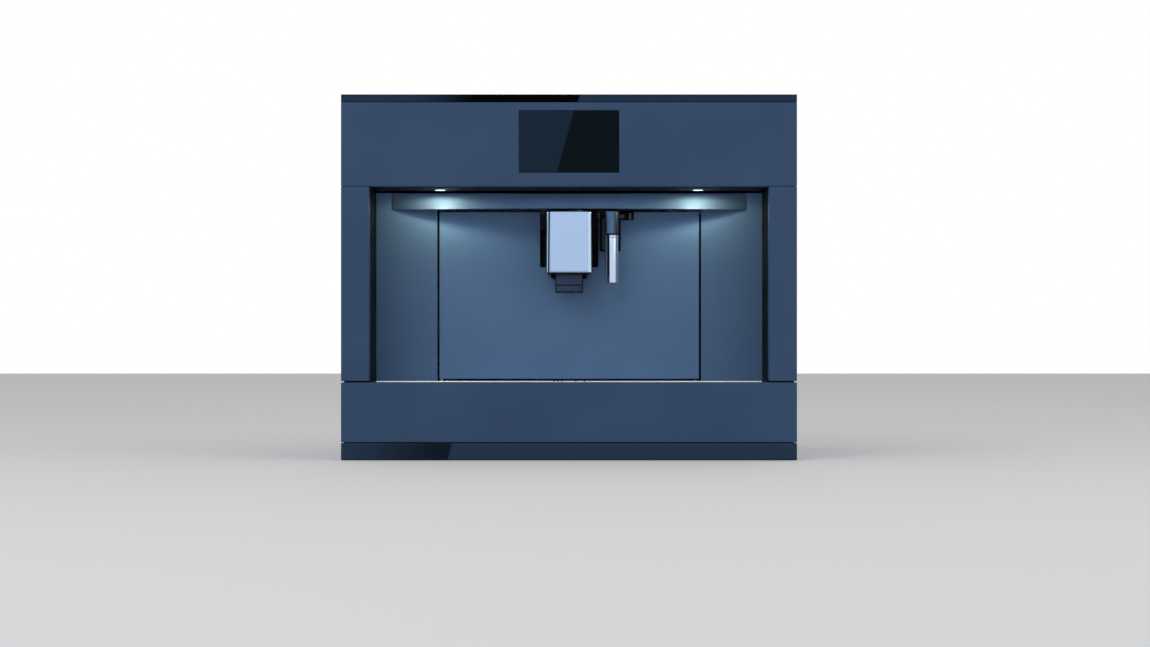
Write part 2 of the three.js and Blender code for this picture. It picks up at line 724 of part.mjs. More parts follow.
function addChassis() {
  const length = [chassisY, bodyRear];
  const inner = [-insideX, insideX];

  const panTop = BASE_Z + PAN_FLANGE_HEIGHT;
  const pan = cut(
    block(inner, length, [BASE_Z, panTop]),
    block(inset(inner, SHEET), [chassisY - OVERLAP, bodyRear - SHEET], [BASE_Z + SHEET, panTop + OVERLAP]),
  );
  piece('base_pan', pan, 'zincSheet');

  const window = block(
    [sideInner - OVERLAP, sideOuter + OVERLAP],
    inset(tankY, -TANK_WINDOW_GAP),
    inset(tankZ, -TANK_WINDOW_GAP),
  );
  for (const [label, side] of SIDES) {
    const sheet = block(across(side, sideInner, sideOuter), length, [BASE_Z, bodyTop]);
    piece(`side_panel_${label}`, side > 0 ? cut(sheet, window) : sheet, 'zincSheet');
  }

  const runner = SIDES.map(([, side]) => join(
    block(across(side, insideX - SHEET, insideX), length, [runnerZ, floorZ]),
    block(across(side, insideX - RUNNER_WIDTH, insideX), length, rise(runnerZ, SHEET)),
  ));
  const deckY = [RECESS_DEPTH + RUNNING_GAP, bodyRear - FIT];
  const puckHole = block(
    around(0, PUCK_HOLE_WIDTH),
    around(brewY, PUCK_HOLE_LENGTH),
    [deckZ - OVERLAP, floorZ + OVERLAP],
  );
  const hingePin = bar('z', hinge, HINGE_PIN_DIAMETER, [deckZ, doorZ + DOOR_RIM + HINGE_PIN_REACH]);
  const deck = join(cut(block(inner, deckY, [deckZ, floorZ]), puckHole), ...runner, hingePin);
  piece('deck', deck, 'zincSheet');

  const hatchX = inset(around(grinderX, HOPPER_WIDTH), -FIT);
  const hatchY = inset(around(grinderY, HOPPER_LENGTH), -FIT);
  const topSheet = block([-sideOuter, sideOuter], length, [topCoverZ, topCoverTop]);
  const hatch = block(hatchX, hatchY, [topCoverZ - OVERLAP, topCoverTop + OVERLAP]);
  piece('top_cover', cut(topSheet, hatch), 'zincSheet');

  const rearY = rise(rearCoverY, SHEET);
  const through = inset(rearY, -OVERLAP);
  const vents = Array.from({ length: VENT_COUNT }, (_, index) => {
    const z = fanZ + (index - (VENT_COUNT - 1) / 2) * VENT_PITCH;
    return block(around(FAN_X, VENT_WIDTH), through, around(z, VENT_HEIGHT));
  });
  const inletHole = block(
    inset(around(inletX, INLET_WIDTH), INLET_FLANGE - FIT),
    through,
    around(INLET_Z, inletBodyHeight + 2 * FIT),
  );
  const rearSheet = block([-sideOuter, sideOuter], rearY, [BASE_Z, bodyTop]);
  piece('rear_cover', cut(rearSheet, inletHole, ...vents), 'zincSheet');
}

// ---------------------------------------------------------------- service door, spout and wand

function addDoor() {
  const x = [-doorHalf, doorHalf];
  const y = rise(RECESS_DEPTH, DOOR_DEPTH);
  const z = [doorZ, doorTop];
  const spoutHalf = SPOUT_NOTCH_WIDTH / 2;
  const spoutFloor = doorTop - SPOUT_NOTCH_DROP;
  const wandLeft = WAND_OFFSET - WAND_NOTCH_LEAD;
  const wandRight = wandLeft + WAND_NOTCH_WIDTH;
  const slotRight = wandRight + WAND_SLOT_WIDTH;
  const wandFloor = doorTop - WAND_NOTCH_DROP;
  const slotFloor = doorTop - WAND_SLOT_DROP;
  const above = doorTop + OVERLAP;
  const through = inset(y, -OVERLAP);

  const shell = cut(
    block(x, y, z),
    block(inset(x, DOOR_RIM), [doorBack, y[1] + OVERLAP], inset(z, DOOR_RIM)),
  );
  const spoutNotch = outline([
    [-spoutHalf, above],
    [-spoutHalf, spoutFloor, NOTCH_CORNER],
    [spoutHalf, spoutFloor, NOTCH_CORNER],
    [spoutHalf, above],
  ]);
  const wandNotch = outline([
    [wandLeft, above],
    [wandLeft, wandFloor, NOTCH_CORNER],
    [wandRight, wandFloor, NOTCH_CORNER],
    [wandRight, slotFloor],
    [slotRight, slotFloor, NOTCH_CORNER],
    [slotRight, above],
  ]);
  const pinHole = bar('z', hinge, HINGE_PIN_DIAMETER + 2 * FIT, inset(z, -OVERLAP));
  const panel = cut(shell, slab(spoutNotch, through), slab(wandNotch, through), pinHole);
  piece('door_panel', panel, 'satinPanel');

  const channelX = [-spoutHalf - CHANNEL_WALL, spoutHalf + CHANNEL_WALL];
  const channelZ = [spoutFloor - CHANNEL_WALL - FIT, doorTop - DOOR_RIM - FIT];
  const channel = cut(
    block(channelX, channelY, channelZ),
    block(
      inset(channelX, CHANNEL_WALL),
      [channelY[0] - OVERLAP, channelY[1] - CHANNEL_WALL],
      [channelZ[0] + CHANNEL_WALL, channelZ[1] + OVERLAP],
    ),
  );
  piece('spout_channel', channel, 'blackPlastic');

  const nippleZ = doorTop - WAND_DROP - NIPPLE_Z_DROP;
  const socketY = rise(doorBack + FIT, SOCKET_PLATE);
  const nipple = [WAND_OFFSET, nippleZ];
  const nippleY = [RECESS_DEPTH - NIPPLE_REACH, socketY[1]];
  const plateX = [channelX[1] + FIT, slotRight + SOCKET_MARGIN];
  const socket = cut(
    join(
      block(plateX, socketY, [wandFloor - SOCKET_MARGIN, channelZ[1]]),
      bar('y', nipple, SOCKET_BOSS_DIAMETER, [RECESS_DEPTH - SOCKET_BOSS_LIP, socketY[0] + OVERLAP]),
      bar('y', nipple, NIPPLE_DIAMETER, nippleY),
    ),
    bar('y', nipple, NIPPLE_BORE, inset(nippleY, -OVERLAP), PIN_SIDES),
  );
  piece('wand_socket', socket, 'navyPlastic');
}

function addSpout() {
  const half = SPOUT_WIDTH / 2;
  const top = doorTop - SPOUT_DROP;
  const z = [top - SPOUT_HEIGHT, top];
  const frontY = RECESS_DEPTH - SPOUT_REACH;
  const rearY = RECESS_DEPTH - RUNNING_GAP;
  const section = (margin, back) => outline([
    [-half + margin, back],
    [-half + margin, frontY + margin, SPOUT_CORNER - margin],
    [half - margin, frontY + margin, SPOUT_CORNER - margin],
    [half - margin, back],
  ]);
  const flared = (body) => {
    const mesh = body.getMesh();
    const points = mesh.vertProperties.slice();
    for (let i = 0; i < points.length; i += 3) {
      points[i] *= 1 + SPOUT_FLARE * (top - points[i + 2]) / SPOUT_HEIGHT;
    }
    const { triVerts } = mesh;
    return new wasm.Manifold(new wasm.Mesh({ numProp: 3, vertProperties: points, triVerts }));
  };
  const cover = cut(
    column(section(0, rearY), z),
    column(section(SPOUT_WALL, rearY + OVERLAP), [z[0] - OVERLAP, z[1] - SPOUT_WALL]),
  );
  piece('spout_cover', flared(cover), 'brightMetal');

  const notchHalf = SPOUT_NOTCH_WIDTH / 2 - RUNNING_GAP;
  const carriageZ = [top - CARRIAGE_HEIGHT, top];
  const neckX = around(0, CARRIAGE_NECK);
  const neckY = [frontY + SPOUT_CORNER, doorBack];
  const baseZ = [z[0] - FIT - SPOUT_BASE_THICKNESS, z[0] - FIT];
  const legZ = [baseZ[0] - SPOUT_LEG_DROP, baseZ[0] + OVERLAP];
  const nozzleX = around(0, NOZZLE_WIDTH);
  const nozzleY = rise(frontY + NOZZLE_SETBACK, NOZZLE_LENGTH);
  const legs = SIDES.map(([, side]) => block(
    across(side, nozzleX[1] + FIT, nozzleX[1] + FIT + SPOUT_LEG_WIDTH),
    inset(nozzleY, SPOUT_LEG_INSET),
    legZ,
  ));
  const plateY = [RECESS_DEPTH + RUNNING_GAP, channelY[1] - CHANNEL_WALL - RUNNING_GAP];
  const carriage = join(
    block([-notchHalf, notchHalf], plateY, carriageZ),
    block(neckX, neckY, inset(carriageZ, SPOUT_WALL + FIT)),
    block(neckX, [nozzleY[1], rearY - RUNNING_GAP], [baseZ[0], carriageZ[0] + SPOUT_WALL + OVERLAP]),
    block(inset(around(0, SPOUT_WIDTH), SPOUT_WALL), [frontY + SPOUT_WALL, rearY], baseZ),
    ...legs,
  );
  piece('spout_carriage', carriage, 'blackPlastic');

  const nozzleTop = baseZ[0] - FIT;
  const nozzleZ = [nozzleTop - NOZZLE_HEIGHT, nozzleTop];
  const groove = block(
    inset(nozzleX, -OVERLAP),
    [nozzleY[0] - OVERLAP, nozzleY[0] + NOZZLE_GROOVE],
    rise(nozzleZ[0] + NOZZLE_GROOVE_DROP, NOZZLE_GROOVE),
  );
  const bores = SIDES.map(([, side]) => bar(
    'z',
    [side * NOZZLE_PITCH / 2, (nozzleY[0] + nozzleY[1]) / 2],
    NOZZLE_BORE,
    [nozzleZ[0] - OVERLAP, nozzleZ[0] + NOZZLE_GROOVE_DROP],
    PIN_SIDES,
  ));
  piece('spout_nozzles', cut(block(nozzleX, nozzleY, nozzleZ), groove, ...bores), 'navyPlastic');
}

function addWand() {
  const centre = [WAND_OFFSET, RECESS_DEPTH - WAND_REACH];
  const knobTop = doorTop - WAND_DROP;
  const knobZ = [knobTop - KNOB_HEIGHT, knobTop];
  const nippleZ = knobTop - NIPPLE_Z_DROP;
  const nipple = [WAND_OFFSET, nippleZ];
  const bossRear = RECESS_DEPTH - SOCKET_BOSS_LIP - RUNNING_GAP;
  const knob = cut(
    join(
      bar('z', centre, KNOB_DIAMETER, knobZ),
      bar('y', nipple, SOCKET_BOSS_DIAMETER, [centre[1], bossRear]),
    ),
    bar('y', nipple, NIPPLE_DIAMETER + 2 * FIT, [RECESS_DEPTH - NIPPLE_REACH - FIT, bossRear + OVERLAP]),
  );
  piece('wand_knob', knob, 'blackPlastic');

  const tubeTop = knobZ[0] - FIT;
  const tubeZ = [tubeTop - COLLAR_HEIGHT - WAND_TUBE_LENGTH, tubeTop];
  const tube = cut(
    join(
      bar('z', centre, WAND_TUBE_DIAMETER, tubeZ),
      bar('z', centre, KNOB_DIAMETER, [tubeTop - COLLAR_HEIGHT, tubeTop]),
    ),
    bar('z', centre, WAND_TUBE_BORE, [tubeZ[0] - OVERLAP, tubeTop - COLLAR_HEIGHT]),
  );
  piece('wand_tube', tube, 'brightMetal');
}

// ---------------------------------------------------------------- drip drawer

function addDrawer() {
  const panelZ = [lowerPanelZ + STRIP_GAP, openingZ];
  piece('lower_panel', panelShell([-frontHalf, frontHalf], panelZ), 'satinPanel');

  const rimHalf = openingHalf - TRAY_PLAY;
  const trayX = inset([-rimHalf, rimHalf], TRAY_RIM);
  const trayY = rise(frameY, TRAY_LENGTH);
  const rimZ = rise(runnerZ + SHEET + FIT, TRAY_WALL);
  const dividerY = RECESS_DEPTH + TRAY_DIVIDER_SETBACK;
  const dividerZ = [TRAY_Z + OVERLAP, TRAY_Z + TRAY_DIVIDER_HEIGHT];
  const tray = join(
    tub(trayX, trayY, [TRAY_Z, rimZ[1]], TRAY_WALL),
    block(inset(trayX, OVERLAP), rise(dividerY, TRAY_WALL), dividerZ),
    ...SIDES.map(([, side]) => (
      block(across(side, trayX[1] - OVERLAP, rimHalf), [chassisY, trayY[1]], rimZ)
    )),
  );
  piece('drip_tray', tray, 'blackPlastic');

  const grilleX = [-openingHalf + GRILLE_SIDE_GAP, openingHalf - GRILLE_SIDE_GAP];
  const grilleY = [chassisY, RECESS_DEPTH - GRILLE_SIDE_GAP];
  const grilleZ = [rimZ[1] + FIT, floorZ];
  const slots = Array.from({ length: GRILLE_SLOT_COUNT }, (_, index) => {
    const x = (index - (GRILLE_SLOT_COUNT - 1) / 2) * GRILLE_SLOT_PITCH;
    const y = (grilleY[0] + grilleY[1]) / 2;
    return block(
      around(x, GRILLE_SLOT_WIDTH),
      around(y, GRILLE_SLOT_LENGTH),
      [floorZ - GRILLE_THICKNESS - OVERLAP, floorZ + OVERLAP],
    );
  });
  const hollow = block(
    inset(grilleX, GRILLE_THICKNESS),
    inset(grilleY, GRILLE_THICKNESS),
    [grilleZ[0] - OVERLAP, floorZ - GRILLE_THICKNESS],
  );
  const grille = cut(block(grilleX, grilleY, grilleZ), hollow, ...slots);
  piece('drip_grille', grille, 'brushedSteel');

  const binY = [dividerY + TRAY_WALL + FIT, trayY[1] - TRAY_WALL - FIT];
  const binZ = [TRAY_Z + TRAY_WALL + FIT, deckZ - BIN_HEAD_GAP];
  piece('grounds_container', tub(around(0, BIN_WIDTH), binY, binZ, BIN_WALL), 'greyPlastic');
}

// ---------------------------------------------------------------- brew group

function addBrewGroup() {
  const halfWidth = [-BREW_WIDTH / 2, BREW_WIDTH / 2];
  const backY = rise(brewBackY, BREW_BACK_THICKNESS);
  const frameDepth = [brewFront, backY[1]];
  const headTop = brewHeadZ + BREW_HEAD_THICKNESS;
  const spindle = [0, brewBackY - SPINDLE_SETBACK];
  const bore = SPINDLE_DIAMETER + 2 * SPINDLE_PLAY;
  const motorZ = rise(headTop + FIT, BREW_MOTOR_HEIGHT);
  const puckY = around(brewY, PUCK_HOLE_LENGTH);
  const baseZ = rise(onDeck, BREW_BASE_THICKNESS);

  const frame = cut(
    join(
      block(halfWidth, frameDepth, baseZ),
      block(halfWidth, backY, [onDeck, headTop]),
      block(halfWidth, frameDepth, [brewHeadZ, headTop]),
      bar('z', [0, brewY], PISTON_DIAMETER, [brewHeadZ - PISTON_LENGTH, brewHeadZ + OVERLAP], LARGE_SIDES),
    ),
    block(around(0, PUCK_HOLE_WIDTH), [puckY[0] + PUCK_HOLE_LIP, puckY[1]], inset(baseZ, -OVERLAP)),
    bar('z', spindle, bore, [brewHeadZ - OVERLAP, headTop + OVERLAP]),
  );
  piece('brew_frame', frame, 'greyPlastic');

  const chamberZ = rise(onDeck + CHAMBER_LIFT, CHAMBER_HEIGHT);
  const outer = CHAMBER_BORE + 2 * CHAMBER_WALL;
  const nutZ = around((chamberZ[0] + chamberZ[1]) / 2, NUT_HEIGHT);
  const nutY = [brewY + CHAMBER_BORE / 2 + OVERLAP, brewBackY - RUNNING_GAP];
  const chamber = cut(
    join(
      bar('z', [0, brewY], outer, chamberZ, LARGE_SIDES),
      block(around(0, NUT_WIDTH), nutY, nutZ),
    ),
    bar('z', [0, brewY], CHAMBER_BORE, [chamberZ[0] + CHAMBER_FLOOR, chamberZ[1] + OVERLAP], LARGE_SIDES),
    bar('z', spindle, bore, inset(nutZ, -OVERLAP)),
  );
  piece('brew_chamber', chamber, 'blackPlastic');

  const spindleZ = [baseZ[1] + FIT, motorZ[0] + DRIVE_LENGTH];
  piece('brew_spindle', bar('z', spindle, SPINDLE_DIAMETER, spindleZ), 'brushedSteel');
  const motor = cut(
    bar('z', spindle, BREW_MOTOR_DIAMETER, motorZ, LARGE_SIDES),
    bar('z', spindle, bore, [motorZ[0] - OVERLAP, spindleZ[1] + FIT]),
  );
  piece('brew_motor', motor, 'zincSheet');
}

// ---------------------------------------------------------------- grinder, hopper and bean lid

function addGrinder() {
  const centre = [grinderX, grinderY];
  const motorTop = onDeck + GRINDER_MOTOR_HEIGHT;
  const housingTop = motorTop + GRINDER_HEIGHT;
  const burrZ = motorTop + BURR_FLOOR;
  const shaftHole = BURR_SHAFT_DIAMETER + 2 * RUNNING_GAP;
  const chamberLow = BURR_RADIUS + BURR_GAP;
  const chamberHigh = BURR_TOP_RADIUS + BURR_GAP;
  const burrTop = burrZ + BURR_GAP + BURR_HEIGHT;
  const grinder = cut(
    join(
      bar('z', centre, GRINDER_MOTOR_DIAMETER, [onDeck, motorTop + OVERLAP], LARGE_SIDES),
      bar('z', centre, GRINDER_DIAMETER, [motorTop, housingTop], LARGE_SIDES),
    ),
    turned(...centre, [
      [0, burrZ],
      [chamberLow, burrZ],
      [chamberHigh, burrTop],
      [HOPPER_THROAT / 2, housingTop + OVERLAP],
      [0, housingTop + OVERLAP],
    ]),
    bar('z', centre, shaftHole, [motorTop, burrZ + OVERLAP]),
  );
  piece('grinder', grinder, 'blackPlastic');

  const burr = join(
    turned(...centre, [
      [0, burrZ + BURR_GAP],
      [BURR_RADIUS, burrZ + BURR_GAP],
      [BURR_TOP_RADIUS, burrTop],
      [BURR_SHAFT_DIAMETER / 2, burrTop + BURR_NOSE],
      [0, burrTop + BURR_NOSE],
    ]),
    bar('z', centre, BURR_SHAFT_DIAMETER, [motorTop + FIT, burrZ + BURR_GAP + OVERLAP]),
  );
  const teeth = Array.from({ length: BURR_TEETH }, (_, index) => {
    const angle = 2 * Math.PI * index / BURR_TEETH;
    const place = [centre[0] + BURR_RADIUS * Math.cos(angle), centre[1] + BURR_RADIUS * Math.sin(angle)];
    return bar('z', place, BURR_TOOTH_DIAMETER, [burrZ, burrTop + OVERLAP], SMALL_SIDES);
  });
  piece('grinder_burr', cut(burr, ...teeth), 'brushedSteel');
  return housingTop;
}

function addHopper(grinderTop) {
  const centre = [grinderX, grinderY];
  const x = around(grinderX, HOPPER_WIDTH);
  const y = around(grinderY, HOPPER_LENGTH);
  const rimZ = rise(topCoverTop + FIT, HOPPER_RIM_THICKNESS);
  const funnelTop = rimZ[1] - HOPPER_BOX_HEIGHT;
  const throatZ = rise(grinderTop + FIT, HOPPER_THROAT_HEIGHT);
  const throat = [HOPPER_THROAT, HOPPER_THROAT];
  const thin = (size) => size.map((value) => value - 2 * HOPPER_WALL);
  const box = [HOPPER_WIDTH, HOPPER_LENGTH];
  const rimX = inset(x, -HOPPER_RIM);
  const rimY = inset(y, -HOPPER_RIM);
  const hingeLine = rimY[1] + EAR_WIDTH / 2;
  const hingeZ = rimZ[1] + FIT + LID_BARREL_RADIUS + RUNNING_GAP;
  const lidHinge = [hingeLine, hingeZ];
  const earRoot = rimY[1] - EAR_ROOT;
  const earZ = [rimZ[0], hingeZ + EAR_WIDTH / 2];
  const earSweep = Math.hypot(hingeLine - earRoot, earZ[1] - hingeZ) + RUNNING_GAP;
  const lidZ = rise(rimZ[1] + FIT, LID_THICKNESS);

  const ears = SIDES.map(([, side]) => block(
    side < 0 ? rise(x[0] + EAR_INSET - EAR_WIDTH, EAR_WIDTH) : rise(x[1] - EAR_INSET, EAR_WIDTH),
    [earRoot, hingeLine + EAR_WIDTH / 2],
    earZ,
  ));
  const hopper = cut(
    join(
      block(x, y, [funnelTop, rimZ[1]]),
      frustum(centre, throat, box, [throatZ[1], funnelTop]),
      block(around(grinderX, HOPPER_THROAT), around(grinderY, HOPPER_THROAT), throatZ),
      block(rimX, rimY, rimZ),
      ...ears,
    ),
    block(inset(x, HOPPER_WALL), inset(y, HOPPER_WALL), [funnelTop, rimZ[1] + OVERLAP]),
    frustum(centre, thin(throat), thin(box), [throatZ[1], funnelTop]),
    block(
      inset(around(grinderX, HOPPER_THROAT), HOPPER_WALL),
      inset(around(grinderY, HOPPER_THROAT), HOPPER_WALL),
      [throatZ[0] - OVERLAP, throatZ[1]],
    ),
    bar('x', lidHinge, LID_PIN_DIAMETER + 2 * FIT, inset(x, -OVERLAP), PIN_SIDES),
  );
  piece('bean_hopper', hopper, 'clearPlastic');

  const barrelX = inset(x, EAR_INSET + FIT + RUNNING_GAP);
  const lid = join(
    block(rimX, [rimY[0], hingeLine - earSweep], lidZ),
    block(barrelX, [hingeLine - earSweep - OVERLAP, hingeLine], lidZ),
    bar('x', lidHinge, 2 * LID_BARREL_RADIUS, barrelX, PIN_SIDES),
    bar('x', lidHinge, LID_PIN_DIAMETER, inset(barrelX, -EAR_WIDTH + FIT), PIN_SIDES),
  );
  piece('bean_lid', lid, 'blackPlastic');
}

// ---------------------------------------------------------------- boiler, pump and pipes

function addWaterLine() {
  const boilerY = around(grinderY - BOILER_LEAD, BOILER_LENGTH);
  const boilerZ = rise(onDeck, BOILER_HEIGHT);
  const finPitch = BOILER_HEIGHT / (BOILER_FIN_COUNT + 1);
  const fins = Array.from({ length: BOILER_FIN_COUNT }, (_, index) => block(
    inset(boilerX, -BOILER_FIN),
    inset(boilerY, BOILER_FIN),
    around(boilerZ[0] + (index + 1) * finPitch, BOILER_FIN),
  ));
  piece('boiler', join(block(boilerX, boilerY, boilerZ), ...fins), 'aluminium');

  const coilX = inset(pumpX, (PUMP_LENGTH - PUMP_COIL) / 2);
  const pump = join(
    bar('x', waterLine, PUMP_DIAMETER, pumpX),
    block(coilX, around(waterLineY, PUMP_COIL), [onDeck, waterLineZ + PUMP_COIL / 2]),
  );
  piece('pump', pump, 'greyPlastic');

  const feedX = [boilerX[1] + BOILER_FIN + FIT, pumpX[0] - FIT];
  piece('pump_pipe', bar('x', waterLine, HOSE_DIAMETER, feedX, SMALL_SIDES), 'silicone');

  const headZ = brewHeadZ + BREW_HEAD_THICKNESS + FIT;
  const hoseY = brewY - HOSE_BEND;
  const peak = headZ + 2 * HOSE_BEND;
  const endX = -BREW_WIDTH / 2 + HOSE_DIAMETER;
  const startX = (boilerX[0] + boilerX[1]) / 2;
  const start = new THREE.Vector3(startX, hoseY, boilerZ[1] + FIT);
  const path = new THREE.CurvePath();
  const corner = (from, knee, to) => new THREE.QuadraticBezierCurve3(from, knee, to);
  const up = new THREE.Vector3(startX, hoseY, peak - HOSE_BEND);
  const over = new THREE.Vector3(startX + HOSE_BEND, hoseY, peak);
  const along = new THREE.Vector3(endX - HOSE_BEND, hoseY, peak);
  const down = new THREE.Vector3(endX, hoseY, peak - HOSE_BEND);
  const finish = new THREE.Vector3(endX, hoseY, headZ);
  path.add(new THREE.LineCurve3(start, up));
  path.add(corner(up, new THREE.Vector3(startX, hoseY, peak), over));
  path.add(new THREE.LineCurve3(over, along));
  path.add(corner(along, new THREE.Vector3(endX, hoseY, peak), down));
  path.add(new THREE.LineCurve3(down, finish));
  const ring = new THREE.Shape().absarc(0, 0, HOSE_DIAMETER / 2, 0, 2 * Math.PI);
  const steps = Math.ceil(path.getLength() / HOSE_DIAMETER);
  const curveSegments = CORNER_STEPS;
  const hose = new THREE.ExtrudeGeometry(ring, { steps, curveSegments, extrudePath: path });
  piece('brew_hose', solid(hose), 'silicone');
}

// ---------------------------------------------------------------- water tank and dock

function addTank() {
  const x = tankX;
  const y = tankY;
  const z = tankZ;
  const wallTop = z[1] - TANK_LID_THICKNESS - FIT;
  const dockHole = DOCK_NIPPLE_DIAMETER + 2 * RUNNING_GAP;
  const gripY = around((y[0] + y[1]) / 2, GRIP_WIDTH);
  const gripZ = [z[1] - GRIP_DROP - GRIP_HEIGHT, z[1] - GRIP_DROP];
  const tank = cut(
    join(
      tub(x, y, [z[0], wallTop], TANK_WALL),
      block([x[1] - GRIP_DEPTH - TANK_WALL, x[1]], inset(gripY, -TANK_WALL), inset(gripZ, -TANK_WALL)),
    ),
    block([x[1] - GRIP_DEPTH, x[1] + OVERLAP], gripY, gripZ),
    bar('x', waterLine, dockHole, inset(rise(x[0], TANK_WALL), -OVERLAP)),
  );
  piece('water_tank', tank, 'clearPlastic');

  const mouth = block(
    around((x[0] + x[1]) / 2, TANK_MOUTH_WIDTH),
    rise(y[0] + TANK_MOUTH_FRONT, TANK_MOUTH_LENGTH),
    [wallTop - OVERLAP, z[1] + OVERLAP],
  );
  piece('tank_lid', cut(block(x, y, [wallTop + FIT, z[1]]), mouth), 'greyPlastic');

  const postX = [x[0] - FIT - DOCK_POST, x[0] - FIT];
  const dock = join(
    block([postX[0], insideX - FIT], inset(y, DOCK_POST), [onDeck, z[0] - FIT]),
    block(postX, around(waterLineY, DOCK_POST_WIDTH), [onDeck, waterLineZ + DOCK_POST_WIDTH / 2]),
    bar('x', waterLine, DOCK_NIPPLE_DIAMETER, [postX[1] - OVERLAP, x[0] + DOCK_NIPPLE_LENGTH]),
    bar('x', waterLine, HOSE_DIAMETER, [pumpX[1] + FIT, postX[0] + OVERLAP], PIN_SIDES),
  );
  piece('tank_dock', dock, 'blackPlastic');
}

// ---------------------------------------------------------------- rear electrics

function addFan() {
  const centre = [FAN_X, fanZ];
  const y = [bodyRear - FAN_DEPTH, bodyRear];
  const strutY = [y[1] - FAN_STRUT, y[1]];
  const rotorY = [y[0] + FAN_TIP_GAP, strutY[0] - FAN_TIP_GAP];
  const hubHole = FAN_PIN_DIAMETER + 2 * FIT;
  const bore = FAN_SIZE - 2 * FAN_WALL;
  const strutSpan = (middle) => around(middle, bore + 2 * OVERLAP);
  const housing = cut(
    join(
      cut(
        block(around(FAN_X, FAN_SIZE), y, around(fanZ, FAN_SIZE)),
        bar('y', centre, bore, inset(y, -OVERLAP), LARGE_SIDES),
      ),
      bar('y', centre, FAN_HUB_DIAMETER, strutY),
      block(strutSpan(FAN_X), strutY, around(fanZ, FAN_STRUT)),
      block(around(FAN_X, FAN_STRUT), strutY, strutSpan(fanZ)),
    ),
    bar('y', centre, hubHole, inset(strutY, -OVERLAP), PIN_SIDES),
  );
  piece('fan_housing', housing, 'blackPlastic');

  const root = FAN_HUB_DIAMETER / 2 - OVERLAP;
  const tip = bore / 2 - FAN_TIP_GAP;
  const blades = Array.from({ length: FAN_BLADES }, (_, index) => {
    const blade = new THREE.BoxGeometry(tip - root, rotorY[1] - rotorY[0], FAN_BLADE_THICKNESS);
    blade.translate((tip + root) / 2, 0, 0);
    blade.rotateX(THREE.MathUtils.degToRad(FAN_BLADE_PITCH));
    blade.rotateY(index * 2 * Math.PI / FAN_BLADES);
    blade.translate(FAN_X, (rotorY[0] + rotorY[1]) / 2, fanZ);
    return solid(blade);
  });
  const rotor = join(
    bar('y', centre, FAN_HUB_DIAMETER, rotorY),
    bar('y', centre, FAN_PIN_DIAMETER, [rotorY[1] - OVERLAP, strutY[1] - FIT], PIN_SIDES),
    ...blades,
  );
  piece('fan_rotor', rotor, 'blackPlastic');
}

function addPowerInlet() {
  const flangeX = around(inletX, INLET_WIDTH);
  const flangeZ = around(INLET_Z, inletBodyHeight + 2 * INLET_FLANGE);
  const flangeY = rise(rearCoverY + SHEET + FIT, INLET_PLATE);
  const face = flangeY[1];
  const socketX = around(inletX + SOCKET_OFFSET, SOCKET_WIDTH);
  const switchX = inletX + SWITCH_OFFSET;
  const socketBottom = face - SOCKET_DEPTH;
  const pins = [-1, 0, 1].map((slot) => block(
    around(inletX + SOCKET_OFFSET + slot * SOCKET_PIN_PITCH, SOCKET_PIN_WIDTH),
    [socketBottom - OVERLAP, socketBottom + SOCKET_PIN_LENGTH],
    around(INLET_Z, SOCKET_PIN_HEIGHT),
  ));
  const rockerWell = block(
    around(switchX, ROCKER_WIDTH + 2 * RUNNING_GAP),
    [face - SWITCH_DEPTH, face + OVERLAP],
    around(INLET_Z, ROCKER_HEIGHT + ROCKER_PLAY),
  );
  const housing = join(
    cut(
      join(
        block(flangeX, flangeY, flangeZ),
        block(inset(flangeX, INLET_FLANGE), [face - INLET_DEPTH, face], inset(flangeZ, INLET_FLANGE)),
      ),
      block(socketX, [socketBottom, face + OVERLAP], around(INLET_Z, SOCKET_HEIGHT)),
      rockerWell,
    ),
    ...pins,
  );
  piece('power_inlet', housing, 'blackPlastic');

  const half = ROCKER_HEIGHT / 2;
  const profile = outline([
    [-half, -ROCKER_THICKNESS / 2],
    [half, -ROCKER_THICKNESS / 2],
    [half, ROCKER_THICKNESS / 2],
    [0, ROCKER_THICKNESS / 4],
    [-half, ROCKER_THICKNESS / 2],
  ]);
  const rocker = new THREE.ExtrudeGeometry(profile, { depth: ROCKER_WIDTH, bevelEnabled: false });
  rocker.rotateY(Math.PI / 2);
  rocker.rotateX(Math.PI);
  rocker.rotateX(THREE.MathUtils.degToRad(ROCKER_TILT));
  rocker.translate(switchX - ROCKER_WIDTH / 2, face - ROCKER_THICKNESS / 2, INLET_Z);
  piece('power_switch', solid(rocker), 'blackPlastic');
}

function addControlBoard() {
  const x = around(BOARD_X, BOARD_WIDTH);
  const z = around(BOARD_Z, BOARD_HEIGHT);
  const y = rise(bodyRear - BOARD_STANDOFF - BOARD_THICKNESS, BOARD_THICKNESS);
  const postX = inset(x, BOARD_POST_INSET);
  const postZ = inset(z, BOARD_POST_INSET);
  const postY = [y[0] + OVERLAP, bodyRear];
  const posts = postX.flatMap((px) => (
    postZ.map((pz) => bar('y', [px, pz], BOARD_POST_DIAMETER, postY, SMALL_SIDES))
  ));
  const transformer = [TRANSFORMER_WIDTH, TRANSFORMER_HEIGHT, TRANSFORMER_REACH];
  const relay = [RELAY_WIDTH, RELAY_HEIGHT, RELAY_REACH];
  const processor = [PROCESSOR_WIDTH, PROCESSOR_HEIGHT, PROCESSOR_REACH];
  const inRow = (dz, parts) => parts.map(([width, height, reach], index) => block(
    around(x[0] + BOARD_WIDTH * (index + 1) / (parts.length + 1), width),
    [y[0] - reach, y[0] + OVERLAP],
    around(BOARD_Z + dz, height),
  ));
  const board = join(
    block(x, y, z),
    ...posts,
    ...inRow(BOARD_ROW_OFFSET, [transformer, relay, relay]),
    ...inRow(-BOARD_ROW_OFFSET, [processor, processor]),
  );
  piece('control_board', board, 'circuitBoard');
}

